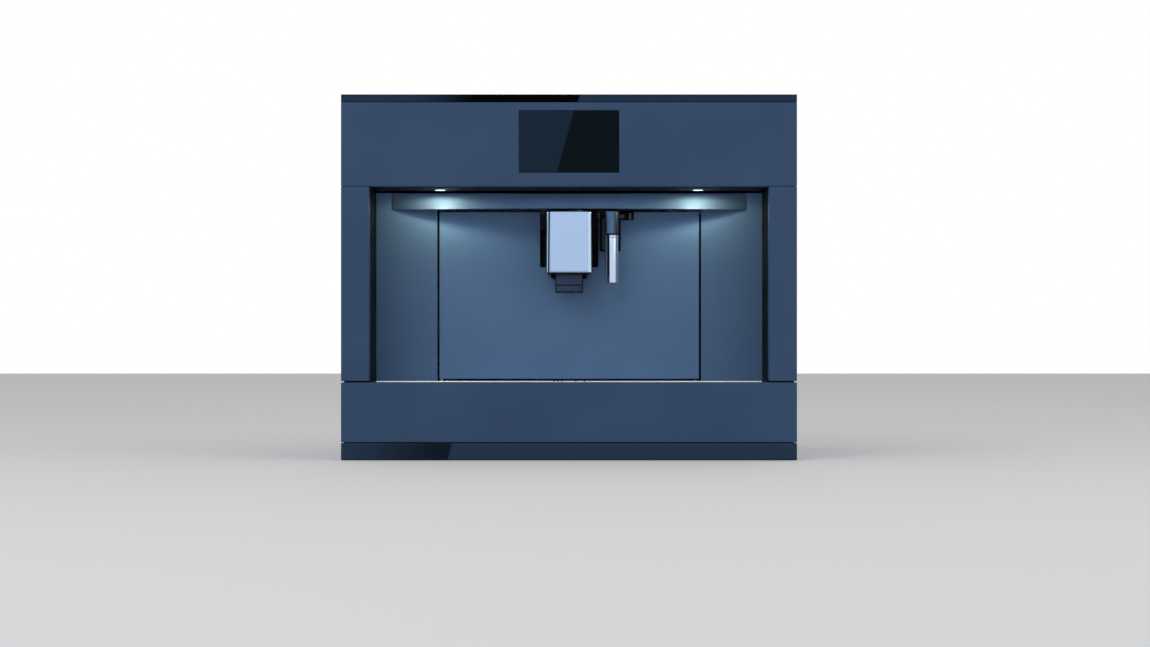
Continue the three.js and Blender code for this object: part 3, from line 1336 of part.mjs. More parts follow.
// ---------------------------------------------------------------- assembly

addGuides();
addSlides();
addFront();
addRecess();
addChassis();
addDoor();
addSpout();
addWand();
addDrawer();
addBrewGroup();
addHopper(addGrinder());
addWaterLine();
addTank();
addFan();
addPowerInlet();
addControlBoard();

machine.position.y = -OVERALL_DEPTH / 2;

export default machine;
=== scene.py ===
"""Dresses the built-in coffee machine: its finishes, its finer pieces, the studio and the camera.

Lengths are metres in the part's own frame: x to the right, y into the niche, z up from the shelf. Sizes
come from the boxes of the machine's solids and from the named fields below.
"""
import logging
import math
from dataclasses import dataclass, replace
from enum import Enum

import bmesh
import bpy
import numpy as np
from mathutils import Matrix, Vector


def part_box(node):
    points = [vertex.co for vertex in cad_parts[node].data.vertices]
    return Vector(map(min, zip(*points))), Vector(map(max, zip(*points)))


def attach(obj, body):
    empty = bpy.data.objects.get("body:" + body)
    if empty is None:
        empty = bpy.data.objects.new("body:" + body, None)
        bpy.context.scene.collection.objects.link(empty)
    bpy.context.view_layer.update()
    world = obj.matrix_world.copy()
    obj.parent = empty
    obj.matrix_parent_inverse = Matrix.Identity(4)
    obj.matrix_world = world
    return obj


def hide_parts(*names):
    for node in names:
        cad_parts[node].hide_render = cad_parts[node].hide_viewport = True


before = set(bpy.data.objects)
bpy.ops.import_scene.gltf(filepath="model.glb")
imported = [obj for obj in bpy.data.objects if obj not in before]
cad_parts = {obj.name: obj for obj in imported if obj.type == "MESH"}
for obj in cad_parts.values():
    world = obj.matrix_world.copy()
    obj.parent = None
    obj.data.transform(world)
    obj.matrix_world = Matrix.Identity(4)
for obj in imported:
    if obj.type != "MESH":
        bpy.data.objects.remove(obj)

LOG = logging.getLogger("coffee_machine")
MM = 0.001
SMOOTH_ANGLE = math.radians(35)
# A flat face keeps a band this wide inside its rounded edge, and no curve is tighter than the tightest.
FLAT_BAND = 1.5 * MM
TIGHTEST = 0.02 * MM
# Solids of revolution close on a circle this small round their axis.
POLE = 0.05 * MM
# Pairs of a length across and a level, and a point in x, y and z.
Profile = tuple[tuple[float, float], ...]
Place = tuple[float, float, float]


# ---------------------------------------------------------------- shapes


def box(node: str) -> np.ndarray:
    """Returns the lowest and highest corner of a node as a (2, 3) array."""
    return np.array([tuple(corner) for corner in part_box(node)])


def rectangle(low: np.ndarray, high: np.ndarray) -> np.ndarray:
    """Returns the four corners of a rectangle, turning left."""
    return np.array([[low[0], low[1]], [high[0], low[1]], [high[0], high[1]], [low[0], high[1]]])


def rounded(corners: np.ndarray, radius: float | np.ndarray, steps: int = 5) -> np.ndarray:
    """A closed outline with every corner turned into a curve.

    With unit directions a and b from corner C to its neighbours, the curve is
    (1 - t)^2 (C + r a) + 2 t (1 - t) C + t^2 (C + r b) for t from 0 to 1.

    Args:
        corners: (n, 2) corners, turning left.
        radius: one length for all corners, or one for each.
        steps: points on each curve.

    Returns:
        The (n * steps, 2) outline.
    """
    before = np.roll(corners, 1, axis=0) - corners
    after = np.roll(corners, -1, axis=0) - corners
    before = before / np.linalg.norm(before, axis=1, keepdims=True)
    after = after / np.linalg.norm(after, axis=1, keepdims=True)
    reach = np.broadcast_to(np.asarray(radius, dtype=float), len(corners))[:, None]
    t = np.linspace(0, 1, steps)[None, :, None]
    start = (corners + reach * before)[:, None, :]
    end = (corners + reach * after)[:, None, :]
    curve = (1 - t) ** 2 * start + 2 * t * (1 - t) * corners[:, None, :] + t**2 * end
    return curve.reshape(-1, 2)


def inset(outline: np.ndarray, distance: float) -> np.ndarray:
    """An outline moved inward.

    A corner between edges with unit left normals m and n moves by distance (m + n) / (1 + m . n).

    Args:
        outline: (n, 2) points, turning left.
        distance: how far each edge moves in; below zero it moves out.

    Returns:
        The moved (n, 2) outline.
    """
    edge = np.roll(outline, -1, axis=0) - outline
    edge = edge / np.linalg.norm(edge, axis=1, keepdims=True)
    normal = np.stack([-edge[:, 1], edge[:, 0]], axis=1)
    prior = np.roll(normal, 1, axis=0)
    share = 1 + np.sum(normal * prior, axis=1, keepdims=True)
    return outline + distance * (normal + prior) / share


def quarter(radius: float, steps: int = 4) -> np.ndarray:
    """Returns a rounded edge as (inset, depth) pairs r (1 - sin a), r (1 - cos a), a from 0 to 90 degrees."""
    angle = np.linspace(0, math.pi / 2, steps)
    return np.stack([radius * (1 - np.sin(angle)), radius * (1 - np.cos(angle))], axis=1)


@dataclass(frozen=True)
class Outline:
    """A closed outline with straight sides and curved corners, turning left."""

    corners: np.ndarray
    radius: float | np.ndarray
    steps: int = 5

    def at(self, distance: float = 0.0) -> np.ndarray:
        """The outline moved inward: an outer corner's curve tightens by the distance, an inner one's widens.

        Args:
            distance: how far it moves in; below zero it moves out.

        Returns:
            The (n, 2) points, as many at every distance.
        """
        before = self.corners - np.roll(self.corners, 1, axis=0)
        after = np.roll(self.corners, -1, axis=0) - self.corners
        turn = np.sign(before[:, 0] * after[:, 1] - before[:, 1] * after[:, 0])
        reach = np.maximum(self.radius - turn * distance, TIGHTEST)
        return rounded(inset(self.corners, distance), reach, self.steps)


def shaped(profile: Profile, level: float, width: float = MM, start: float = 0.0) -> np.ndarray:
    """Returns a profile in metres: widths across from the start, and millimetres up from the level."""
    return np.array(profile) * [width, MM] + [start, level]


def stacked(outline: Outline, profile: np.ndarray, axes: str) -> np.ndarray:
    """Rings of one outline, each moved in and set to a level of its own.

    Args:
        outline: the outline, in the plane of the first two axes.
        profile: (m, 2) pairs of inset and level.
        axes: where the outline's two coordinates and the level go, such as "xzy".

    Returns:
        The (m, n, 3) rings.
    """
    flat = np.stack([outline.at(distance) for distance, _ in profile])
    rings = np.empty((*flat.shape[:2], 3))
    rings[:, :, "xyz".index(axes[0])] = flat[:, :, 0]
    rings[:, :, "xyz".index(axes[1])] = flat[:, :, 1]
    rings[:, :, "xyz".index(axes[2])] = np.asarray(profile)[:, 1:]
    return rings


def turned(centre: tuple[float, float], profile: np.ndarray, axis: str = "z", sides: int = 48) -> np.ndarray:
    """Rings of a solid of revolution: radius cos a, radius sin a for a round the circle.

    Args:
        centre: the other two coordinates of the axis, in x, y, z order.
        profile: (m, 2) pairs of radius and place along the axis.
        axis: the axis that the shape turns about.
        sides: points on each ring.

    Returns:
        The (m, sides, 3) rings.
    """
    angle = np.linspace(0, 2 * math.pi, sides, endpoint=False)
    profile = np.asarray(profile, dtype=float)
    first, second = [k for k in range(3) if "xyz"[k] != axis]
    rings = np.empty((len(profile), sides, 3))
    rings[:, :, first] = centre[0] + profile[:, :1] * np.cos(angle)
    rings[:, :, second] = centre[1] + profile[:, :1] * np.sin(angle)
    rings[:, :, "xyz".index(axis)] = profile[:, 1:]
    return rings


def piped(path: np.ndarray, radius: float, sides: int = 20) -> np.ndarray:
    """Rings of a tube: at each point, radius (cos a u + sin a v), with u and v square to the path.

    Args:
        path: (m, 3) points.
        radius: the tube's radius.
        sides: points on each ring.

    Returns:
        The (m, sides, 3) rings.
    """
    along = np.gradient(path, axis=0)
    along = along / np.linalg.norm(along, axis=1, keepdims=True)
    span = path.max(axis=0) - path.min(axis=0)
    u = np.broadcast_to(np.eye(3)[int(np.argmin(span))], path.shape)
    v = np.cross(along, u)
    v = v / np.linalg.norm(v, axis=1, keepdims=True)
    angle = np.linspace(0, 2 * math.pi, sides, endpoint=False)[None, :, None]
    return path[:, None, :] + radius * (np.cos(angle) * u[:, None, :] + np.sin(angle) * v[:, None, :])


def skin(rings: np.ndarray, closed: bool, first: int) -> list[list[int]]:
    """Quads between neighbouring rings, with a flat cap on each end unless the last ring meets the first.

    Args:
        rings: (m, n, 3) rings.
        closed: whether the last ring joins the first.
        first: the number of the first vertex.

    Returns:
        The faces as lists of vertex numbers.
    """
    index = first + np.arange(rings.shape[0] * rings.shape[1]).reshape(rings.shape[:2])
    low = index if closed else index[:-1]
    high = np.roll(index, -1, axis=0) if closed else index[1:]
    quads = np.stack([low, np.roll(low, -1, axis=1), np.roll(high, -1, axis=1), high], axis=-1)
    faces = quads.reshape(-1, 4).tolist()
    if not closed:
        faces += [index[0][::-1].tolist(), index[-1].tolist()]
    return faces


class Skin(Enum):
    """How a stack of rings ends."""

    CAPPED = False
    CLOSED = True


def piece(name: str, *shells: np.ndarray, ends: Skin = Skin.CAPPED) -> bpy.types.Object:
    """Makes one object from stacks of rings, smooth except along its sharp edges.

    Args:
        name: the piece's name.
        shells: (m, n, 3) stacks of rings, one for each closed body of the piece.
        ends: whether the stacks are capped or run round on themselves.

    Returns:
        The new object, at the origin.
    """
    faces: list[list[int]] = []
    first = 0
    for rings in shells:
        faces += skin(rings, ends.value, first)
        first += rings.shape[0] * rings.shape[1]
    mesh = bpy.data.meshes.new(name)
    mesh.from_pydata(np.concatenate([rings.reshape(-1, 3) for rings in shells]).tolist(), [], faces)
    work = bmesh.new()
    work.from_mesh(mesh)
    bmesh.ops.recalc_face_normals(work, faces=work.faces)
    work.to_mesh(mesh)
    work.free()
    mesh.polygons.foreach_set("use_smooth", [True] * len(mesh.polygons))
    mesh.set_sharp_from_angle(angle=SMOOTH_ANGLE)
    made = bpy.data.objects.new(name, mesh)
    bpy.context.scene.collection.objects.link(made)
    return made


# ---------------------------------------------------------------- node groups and finishes

Colour = tuple[int, int, int]


def linear(colour: Colour) -> tuple[float, float, float, float]:
    """An 8-bit sRGB colour as a scene-linear one.

    A share c of 255 becomes c / 12.92 where it is dark, and ((c + 0.055) / 1.055)^2.4 elsewhere.

    Args:
        colour: red, green and blue from 0 to 255.

    Returns:
        The linear red, green and blue, with alpha 1.
    """
    share = np.asarray(colour) / 255
    value = np.where(share <= 0.04045, share / 12.92, ((share + 0.055) / 1.055) ** 2.4)
    return (*value.tolist(), 1.0)


class Graph:
    """Adds nodes to one node tree and links them."""

    def __init__(self, tree: bpy.types.NodeTree) -> None:
        """Takes the tree and empties it."""
        self.tree = tree
        tree.nodes.clear()

    def add(self, kind: str, inputs: dict | None = None, **settings: object) -> bpy.types.Node:
        """Adds a node.

        Args:
            kind: the node's type, without its "ShaderNode" prefix where it has one.
            inputs: values or sockets for its inputs, by name or number.
            settings: the node's own properties.

        Returns:
            The node.
        """
        node = self.tree.nodes.new(kind if kind.startswith("NodeGroup") else "ShaderNode" + kind)
        for key, value in settings.items():
            setattr(node, key, value)
        for key, value in (inputs or {}).items():
            if isinstance(value, bpy.types.NodeSocket):
                self.tree.links.new(value, node.inputs[key])
            else:
                node.inputs[key].default_value = value
        return node

    def math(self, operation: str, *values: object) -> bpy.types.NodeSocket:
        """Returns the result of a Math node on numbers or sockets."""
        return self.add("Math", dict(enumerate(values)), operation=operation).outputs[0]

    def ramp(
        self, value: object, low: object, high: object, start: float = 0, end: float = 1
    ) -> bpy.types.NodeSocket:
        """Returns a smooth step of a value: start below low, end above high."""
        inputs = {"Value": value, "From Min": low, "From Max": high, "To Min": start, "To Max": end}
        return self.add("MapRange", inputs, interpolation_type="SMOOTHSTEP").outputs[0]

    def mix(self, share: object, one: object, other: object) -> bpy.types.NodeSocket:
        """Mixes one colour towards another with a Mix node.

        Args:
            share: how far towards the other colour, from 0 to 1, or a socket.
            one: the colour at 0, or a socket.
            other: the colour at 1, or a socket.

        Returns:
            The socket of the mixed colour.
        """
        inputs = {"Factor": share, "A": one, "B": other}
        node = self.tree.nodes.new("ShaderNodeMix")
        node.data_type = "RGBA"
        for socket in node.inputs:
            if socket.identifier in ("Factor_Float", "A_Color", "B_Color"):
                value = inputs[socket.name]
                if isinstance(value, bpy.types.NodeSocket):
                    self.tree.links.new(value, socket)
                else:
                    socket.default_value = value
        return next(socket for socket in node.outputs if socket.identifier == "Result_Color")


Stretch = tuple[float, float, float]
# How a pattern stretches along x, y and z.
EVEN: Stretch = (1, 1, 1)
ALONG_X: Stretch = (0.02, 1, 1)
# Cells a metre of the soft clouds in grain, moulded plastic, the slanted painted reflections and dust.
GRAIN_CLOUD = 9.0
MOULD_CLOUD = 20.0
SLANT_CLOUD = 6.0
DUST_CLOUD = 35.0
# Where a cloud's noise turns from 0 to 1.
GRAIN_EDGES = (0.3, 0.7)
CLOUD_EDGES = (0.35, 0.65)
# The sharp end of a slanted painted reflection, and the soft rim of a banded painted reflection or shading.
SWEEP_EDGE = 1 * MM
RIM_START = 0.84
RIM_FADE = 0.08
SWEEP_INPUTS = {"From": -1.0, "Fade": 0.1, "To": 0.0, "Rim": RIM_START}
# Dust thickens between these as a face looks up, and edge wear with a painted edge highlight as the softened
# normal leaves the true one.
DUST_FACING = (0.6, 1.0)
WEAR_AND_HIGHLIGHT_EDGES = (0.02, 0.25)
EDGE_SAMPLES = 4
DUST_ROUGHNESS = 0.4
DUST_TONE: Colour = (138, 141, 144)
WORN_AND_HIGHLIGHT_TONE: Colour = (206, 210, 214)


class Pattern(Enum):
    """The fine patterns that finishes share, each a node group; the slanted and the banded ones paint
    reflection and shade.
    """

    GRAIN = "fine_grain"
    BRUSHED = "brushed_lines"
    SPANGLE = "zinc_spangle"
    MOULDED = "moulded_texture"
    SWEEP = "slanted_painted_reflection"
    BANDED = "painted_light_bands"


def new_group(
    name: str, inputs: dict[str, float], outputs: dict[str, str]
) -> tuple[Graph, bpy.types.Node, bpy.types.Node]:
    """Starts a node group with named sockets.

    Args:
        name: the group's name.
        inputs: number inputs and their defaults.
        outputs: outputs and their kinds, "Float", "Color" or "Vector".

    Returns:
        The group's graph, its input node and its output node.
    """
    tree = bpy.data.node_groups.new(name, "ShaderNodeTree")
    for label, default in inputs.items():
        socket = tree.interface.new_socket(label, in_out="INPUT", socket_type="NodeSocketFloat")
        socket.default_value = default
    for label, kind in outputs.items():
        tree.interface.new_socket(label, in_out="OUTPUT", socket_type="NodeSocket" + kind)
    graph = Graph(tree)
    return graph, graph.add("NodeGroupInput"), graph.add("NodeGroupOutput")


def stretched(graph: Graph, scale: object, shape: Stretch) -> bpy.types.NodeSocket:
    """Object coordinates times a scale and a stretch for each axis.

    Args:
        graph: the nodes to add to.
        scale: the scale, or a socket.
        shape: the stretch.

    Returns:
        The socket of the scaled coordinates.
    """
    place = graph.add("TexCoord").outputs["Object"]
    wide = graph.add("VectorMath", {0: place, 1: shape}, operation="MULTIPLY").outputs[0]
    return graph.add("VectorMath", {0: wide, "Scale": scale}, operation="SCALE").outputs[0]


def noise(graph: Graph, scale: object, detail: float = 2.0, shape: Stretch = EVEN) -> bpy.types.NodeSocket:
    """Returns a 0 to 1 noise over Object coordinates."""
    inputs = {"Vector": stretched(graph, scale, shape), "Scale": 1.0, "Detail": detail}
    return graph.add("TexNoise", inputs).outputs["Fac"]


def banded(graph: Graph, given: bpy.types.NodeOutputs) -> bpy.types.NodeSocket:
    """A mask of painted reflection and shading that is 0 on a band and on the rims of a curved surface, by
    the x of its own normal.

    It is 1 - max(S(x, From) - S(x, To), S(|x|, Rim)), where S(x, a) steps smoothly from 0 at a to 1 one
    fade further on.

    Args:
        graph: the group's nodes.
        given: the group's inputs.

    Returns:
        The mask.
    """
    facing = graph.add("SeparateXYZ", {0: graph.add("TexCoord").outputs["Normal"]}).outputs["X"]
    start, soft, end, edge = (given[label] for label in SWEEP_INPUTS)
    band = graph.ramp(facing, start, graph.math("ADD", start, soft))
    band = graph.math("SUBTRACT", band, graph.ramp(facing, end, graph.math("ADD", end, soft)))
    rim = graph.ramp(graph.math("ABSOLUTE", facing), edge, graph.math("ADD", edge, RIM_FADE))
    return graph.math("SUBTRACT", 1.0, graph.math("MAXIMUM", band, rim))


def slanted(graph: Graph, given: bpy.types.NodeOutputs) -> bpy.types.NodeSocket:
    """A mask of painted reflection that fades in along x from From, and stops on the line x - Scale z = To.

    Args:
        graph: the group's nodes.
        given: the group's inputs.

    Returns:
        The mask.
    """
    split = graph.add("SeparateXYZ", {0: graph.add("TexCoord").outputs["Object"]})
    slope = graph.math("MULTIPLY", split.outputs["Z"], given["Scale"])
    past = graph.math("SUBTRACT", graph.math("SUBTRACT", split.outputs["X"], slope), given["To"])
    inside = graph.ramp(past, -SWEEP_EDGE, SWEEP_EDGE, 1.0, 0.0)
    share = graph.math("SUBTRACT", split.outputs["X"], given["From"])
    share = graph.math("DIVIDE", share, given["Fade"])
    return graph.math("MULTIPLY", inside, graph.ramp(share, 0.0, 1.0))


def pattern_group(pattern: Pattern) -> bpy.types.NodeTree:
    """Builds a pattern's group once: "Scale" in, a 0 to 1 "Mask" and a 0 to 1 "Height" out.

    Args:
        pattern: which pattern.

    Returns:
        The node group.
    """
    if pattern.value in bpy.data.node_groups:
        return bpy.data.node_groups[pattern.value]
    inputs = {"Scale": 1.0}
    if pattern in (Pattern.SWEEP, Pattern.BANDED):
        inputs |= SWEEP_INPUTS
    graph, given, put = new_group(pattern.value, inputs, {"Mask": "Float", "Height": "Float"})
    scale = given.outputs["Scale"]
    if pattern is Pattern.GRAIN:
        mask, height = graph.ramp(noise(graph, GRAIN_CLOUD), *GRAIN_EDGES), noise(graph, scale, detail=3.0)
    elif pattern is Pattern.BRUSHED:
        height = noise(graph, scale, detail=4.0, shape=ALONG_X)
        mask = graph.ramp(height, *CLOUD_EDGES)
    elif pattern is Pattern.SPANGLE:
        cells = graph.add("TexVoronoi", {"Vector": stretched(graph, scale, EVEN), "Scale": 1.0})
        mask = graph.add("SeparateColor", {0: cells.outputs["Color"]}).outputs[0]
        height = cells.outputs["Distance"]
    elif pattern is Pattern.MOULDED:
        mask = graph.ramp(noise(graph, MOULD_CLOUD), *CLOUD_EDGES)
        height = graph.ramp(noise(graph, scale, detail=1.0), *CLOUD_EDGES)
    elif pattern is Pattern.BANDED:
        mask, height = banded(graph, given.outputs), noise(graph, scale)
    else:
        mask, height = slanted(graph, given.outputs), noise(graph, SLANT_CLOUD)
    graph.tree.links.new(mask, put.inputs["Mask"])
    graph.tree.links.new(height, put.inputs["Height"])
    return graph.tree


def dust_group() -> bpy.types.NodeTree:
    """Builds the group for dust: "Amount" in, a mask out that is strong on faces that look up.

    Returns:
        The node group.
    """
    if "settled_dust" in bpy.data.node_groups:
        return bpy.data.node_groups["settled_dust"]
    graph, given, put = new_group("settled_dust", {"Amount": 0.3}, {"Mask": "Float"})
    facing = graph.add("SeparateXYZ", {0: graph.add("NewGeometry").outputs["Normal"]}).outputs["Z"]
    patch = noise(graph, DUST_CLOUD, detail=4.0)
    upward = graph.ramp(facing, *DUST_FACING)
    mask = graph.math("MULTIPLY", graph.math("MULTIPLY", upward, patch), given.outputs["Amount"])
    graph.tree.links.new(mask, put.inputs["Mask"])
    return graph.tree


def edge_group() -> bpy.types.NodeTree:
    """Builds the group for edges: "Radius" in, a softened normal and a mask along the edges out, which paints
    both wear and a highlight there.

    The mask is 1 minus the dot product of the true normal and the normal averaged over the radius.

    Returns:
        The node group.
    """
    if "edge_wear_and_highlight" in bpy.data.node_groups:
        return bpy.data.node_groups["edge_wear_and_highlight"]
    graph, given, put = new_group("edge_wear_and_highlight", {"Radius": 0.5 * MM}, {"Normal": "Vector", "Mask": "Float"})
    soft = graph.add("Bevel", {"Radius": given.outputs["Radius"]}, samples=EDGE_SAMPLES).outputs[0]
    true = graph.add("NewGeometry").outputs["Normal"]
    dot = graph.add("VectorMath", {0: soft, 1: true}, operation="DOT_PRODUCT").outputs["Value"]
    graph.tree.links.new(soft, put.inputs["Normal"])
    mask = graph.ramp(graph.math("SUBTRACT", 1.0, dot), *WEAR_AND_HIGHLIGHT_EDGES)
    graph.tree.links.new(mask, put.inputs["Mask"])
    return graph.tree


@dataclass(frozen=True)
class Finish:
    """One finish: a pattern between two colours, with its gloss, its relief, dust, and worn edges that also
    carry a painted highlight.

    Its slot is the record's, when that isn't the finish's own name. Its sweep says where a tone of painted
    light starts, how far it fades and where it ends, and its rim where a banded one stops at the sides.
    """

    name: str
    colour: Colour
    second: Colour
    pattern: Pattern
    scale: float
    rough: float
    spread: float = 0.05
    metallic: float = 0.0
    relief: float = 0.02
    level: float = 0.5
    dust: float = 0.1
    wear_and_highlight: float = 0.15
    edge: float = 0.5 * MM
    slot: str = ""
    sweep: tuple[float, float, float] = (0.0, 0.0, 0.0)
    rim: float = RIM_START

    def material(self) -> bpy.types.Material:
        """Builds the finish's material the first time that it is asked for.

        Returns:
            The material.
        """
        label = self.name + "_finish"
        if label in bpy.data.materials:
            return bpy.data.materials[label]
        made = bpy.data.materials.new(label)
        made.use_nodes = True
        graph = Graph(made.node_tree)
        shader = graph.add("BsdfPrincipled", {"Metallic": self.metallic, "Specular IOR Level": self.level})
        self.dress(graph, shader)
        out = graph.add("OutputMaterial")
        graph.tree.links.new(shader.outputs[0], out.inputs["Surface"])
        return made

    def dress(self, graph: Graph, shader: bpy.types.Node) -> None:
        """Feeds the shader's colour, roughness and normal.

        Args:
            graph: the material's nodes.
            shader: its Principled BSDF.
        """
        pattern = graph.add("Group", {}, node_tree=pattern_group(self.pattern))
        pattern.inputs["Scale"].default_value = self.scale
        for label, value in zip(SWEEP_INPUTS, (*self.sweep, self.rim)):
            if label in pattern.inputs:
                pattern.inputs[label].default_value = value
        dust = graph.add("Group", {}, node_tree=dust_group())
        dust.inputs["Amount"].default_value = self.dust
        edge = graph.add("Group", {}, node_tree=edge_group())
        edge.inputs["Radius"].default_value = self.edge
        worn_and_highlit = graph.math("MULTIPLY", edge.outputs["Mask"], self.wear_and_highlight)
        # With the slanted and the banded patterns this mix paints reflection and shade into the colour.
        colour = graph.mix(pattern.outputs["Mask"], linear(self.colour), linear(self.second))
        # Edges turn pale: partly wear, partly a painted highlight along them.
        colour = graph.mix(worn_and_highlit, colour, linear(WORN_AND_HIGHLIGHT_TONE))
        colour = graph.mix(dust.outputs["Mask"], colour, linear(DUST_TONE))
        low, high = self.rough - self.spread, self.rough + self.spread
        rough = graph.ramp(pattern.outputs["Mask"], 0, 1, low, high)
        rough = graph.math("ADD", rough, graph.math("MULTIPLY", dust.outputs["Mask"], DUST_ROUGHNESS))
        relief = {"Strength": 1.0, "Distance": self.relief * MM}
        relief |= {"Height": pattern.outputs["Height"], "Normal": edge.outputs["Normal"]}
        bump = graph.add("Bump", relief).outputs[0]
        for label, socket in (("Base Color", colour), ("Roughness", rough), ("Normal", bump)):
            graph.tree.links.new(socket, shader.inputs[label])


@dataclass(frozen=True)
class ClearFinish(Finish):
    """A see-through plastic."""

    clarity: float = 0.92
    index: float = 1.2

    def dress(self, graph: Graph, shader: bpy.types.Node) -> None:
        """Feeds the shader as the base class does, and lets light through.

        Args:
            graph: the material's nodes.
            shader: its Principled BSDF.
        """
        super().dress(graph, shader)
        shader.inputs["Transmission Weight"].default_value = self.clarity
        shader.inputs["IOR"].default_value = self.index


@dataclass(frozen=True)
class LampFinish(Finish):
    """A lit lens."""

    glow: Colour = (229, 244, 255)
    strength: float = 1.6

    def dress(self, graph: Graph, shader: bpy.types.Node) -> None:
        """Feeds the shader as the base class does, and lights it from within.

        Args:
            graph: the material's nodes.
            shader: its Principled BSDF.
        """
        super().dress(graph, shader)
        shader.inputs["Emission Color"].default_value = linear(self.glow)
        shader.inputs["Emission Strength"].default_value = self.strength


SATIN = Finish(
    "satin_panel", colour=(54, 77, 108), second=(58, 82, 114), pattern=Pattern.GRAIN, scale=2600, rough=0.5,
    level=0.12, wear_and_highlight=0.2, edge=0.8 * MM,
)
# Lighter copies of the panels' satin for the recess's back wall and the door: painted light, on top of the
# lamps in the recess.
LIT_SATIN = replace(
    SATIN, name="recess_satin_painted_light", slot="satin_panel", colour=(75, 105, 142), second=(79, 109, 146), level=0.2,
    wear_and_highlight=0.08,
)
LIT_DOOR_SATIN = replace(LIT_SATIN, name="door_satin_painted_light", colour=(83, 115, 154), second=(87, 119, 158))
VISOR_SATIN = replace(
    LIT_SATIN, name="visor_satin", colour=(60, 80, 108), second=(63, 84, 112), rough=0.45, level=0.22,
    wear_and_highlight=0,
)
# Painted reflection: a slanted band of the second colour across the gloss strips.
GLOSS = Finish(
    "gloss_trim", colour=(42, 60, 82), second=(17, 26, 41), pattern=Pattern.SWEEP, scale=0.274, rough=0.07,
    spread=0.02, level=0.04, wear_and_highlight=0.3, relief=0.004, sweep=(-0.31, 0.16, -0.1586),
)
TOP_GLOSS = replace(
    GLOSS, name="top_gloss_painted_reflection", slot="gloss_trim", colour=(38, 54, 77), second=(1, 1, 2), level=0.02,
    sweep=(-0.215, 0.1, -0.1165),
)
# Painted reflection: a slanted glare across the display's glass.
SCREEN = Finish(
    "display_glass", colour=(8, 19, 27), second=(26, 42, 60), pattern=Pattern.SWEEP, scale=0.274,
    rough=0.05, spread=0.01, level=0.03, wear_and_highlight=0.3, relief=0.003, dust=0, sweep=(-1.0, 0.1, -0.1186),
)
# Its strong edge mix paints bright highlight lines along the spout face's edges.
BRIGHT = Finish(
    "bright_metal", colour=(168, 193, 229), second=(172, 196, 231), pattern=Pattern.GRAIN, scale=3000,
    rough=0.16, spread=0.02, metallic=1.0, relief=0.001, wear_and_highlight=0.6,
)
CHROME = replace(
    BRIGHT, name="dark_chrome", slot="bright_metal", colour=(104, 120, 146), second=(110, 127, 153),
    wear_and_highlight=0.3,
)
POLISHED = replace(
    BRIGHT, name="polished_metal", slot="bright_metal", colour=(206, 220, 242), second=(212, 226, 246),
    rough=0.08, wear_and_highlight=0.3,
)
# Painted reflection: a dark band on the hood's left-turned faces and dark rims at its sides, pale elsewhere.
HOOD_REFLECTION = replace(
    CHROME, name="hood_painted_reflection", colour=(40, 56, 80), second=(190, 212, 236), pattern=Pattern.BANDED,
    sweep=(-0.45, 0.08, -0.1),
)
# Painted reflection: a dark band and dark rims down the tube, pale elsewhere; the lower metallic lets the
# painted bands show.
TUBE_REFLECTION = replace(
    POLISHED, name="tube_painted_reflection", colour=(34, 52, 82), second=(198, 216, 242), pattern=Pattern.BANDED,
    metallic=0.7, rough=0.12, sweep=(-0.74, 0.08, -0.38), rim=0.95,
)
# Near white: the bead paints the highlight along the tray's front edge.
HIGHLIGHT_BEAD = replace(
    POLISHED, name="grille_highlight_bead", slot="brushed_steel", colour=(240, 249, 255), second=(246, 253, 255),
    rough=0.3, metallic=0.3,
)
STEEL = Finish(
    "brushed_steel", colour=(176, 190, 206), second=(196, 208, 222), pattern=Pattern.BRUSHED, scale=2600,
    rough=0.28, spread=0.06, metallic=1.0, relief=0.006,
)
ZINC = Finish(
    "zinc_sheet", colour=(160, 165, 170), second=(174, 179, 184), pattern=Pattern.SPANGLE, scale=190,
    rough=0.4, spread=0.06, metallic=0.9, relief=0.002, dust=0.3,
)
ALUMINIUM = Finish(
    "aluminium", colour=(166, 171, 177), second=(182, 187, 191), pattern=Pattern.GRAIN, scale=900,
    rough=0.42, spread=0.06, metallic=0.9, relief=0.04, dust=0.3,
)
DARK = Finish(
    "dark_sheet", colour=(10, 14, 20), second=(14, 19, 27), pattern=Pattern.GRAIN, scale=1800, rough=0.5,
    level=0.12, dust=0.15,
)
BLACK = Finish(
    "black_plastic", colour=(10, 13, 17), second=(15, 18, 23), pattern=Pattern.MOULDED, scale=1500,
    rough=0.45, spread=0.06, level=0.15, relief=0.03, dust=0.12,
)
# Near black: painted shade on the recess's liner, on the visor's core and on the strip along the ceiling.
SHADE = replace(
    BLACK, name="black_shade", slot="satin_panel", colour=(3, 4, 6), second=(5, 6, 8), level=0.05, dust=0,
)
DEEP = replace(
    BLACK, name="deep_black", slot="black_plastic", colour=(6, 8, 11), second=(10, 12, 16), level=0.12,
    dust=0,
)
NAVY = Finish(
    "navy_plastic", colour=(54, 77, 108), second=(60, 85, 118), pattern=Pattern.MOULDED, scale=1500,
    rough=0.4, spread=0.05, level=0.2, relief=0.02,
)
# Painted shading: the knob is lighter on its left and front, darker towards its right and at its rims.
SHADED_KNOB = replace(
    NAVY, name="knob_painted_shading", slot="navy_plastic", colour=(44, 58, 80), second=(96, 133, 176),
    pattern=Pattern.BANDED, sweep=(0.0, 0.6, 2.0), rim=0.7,
)
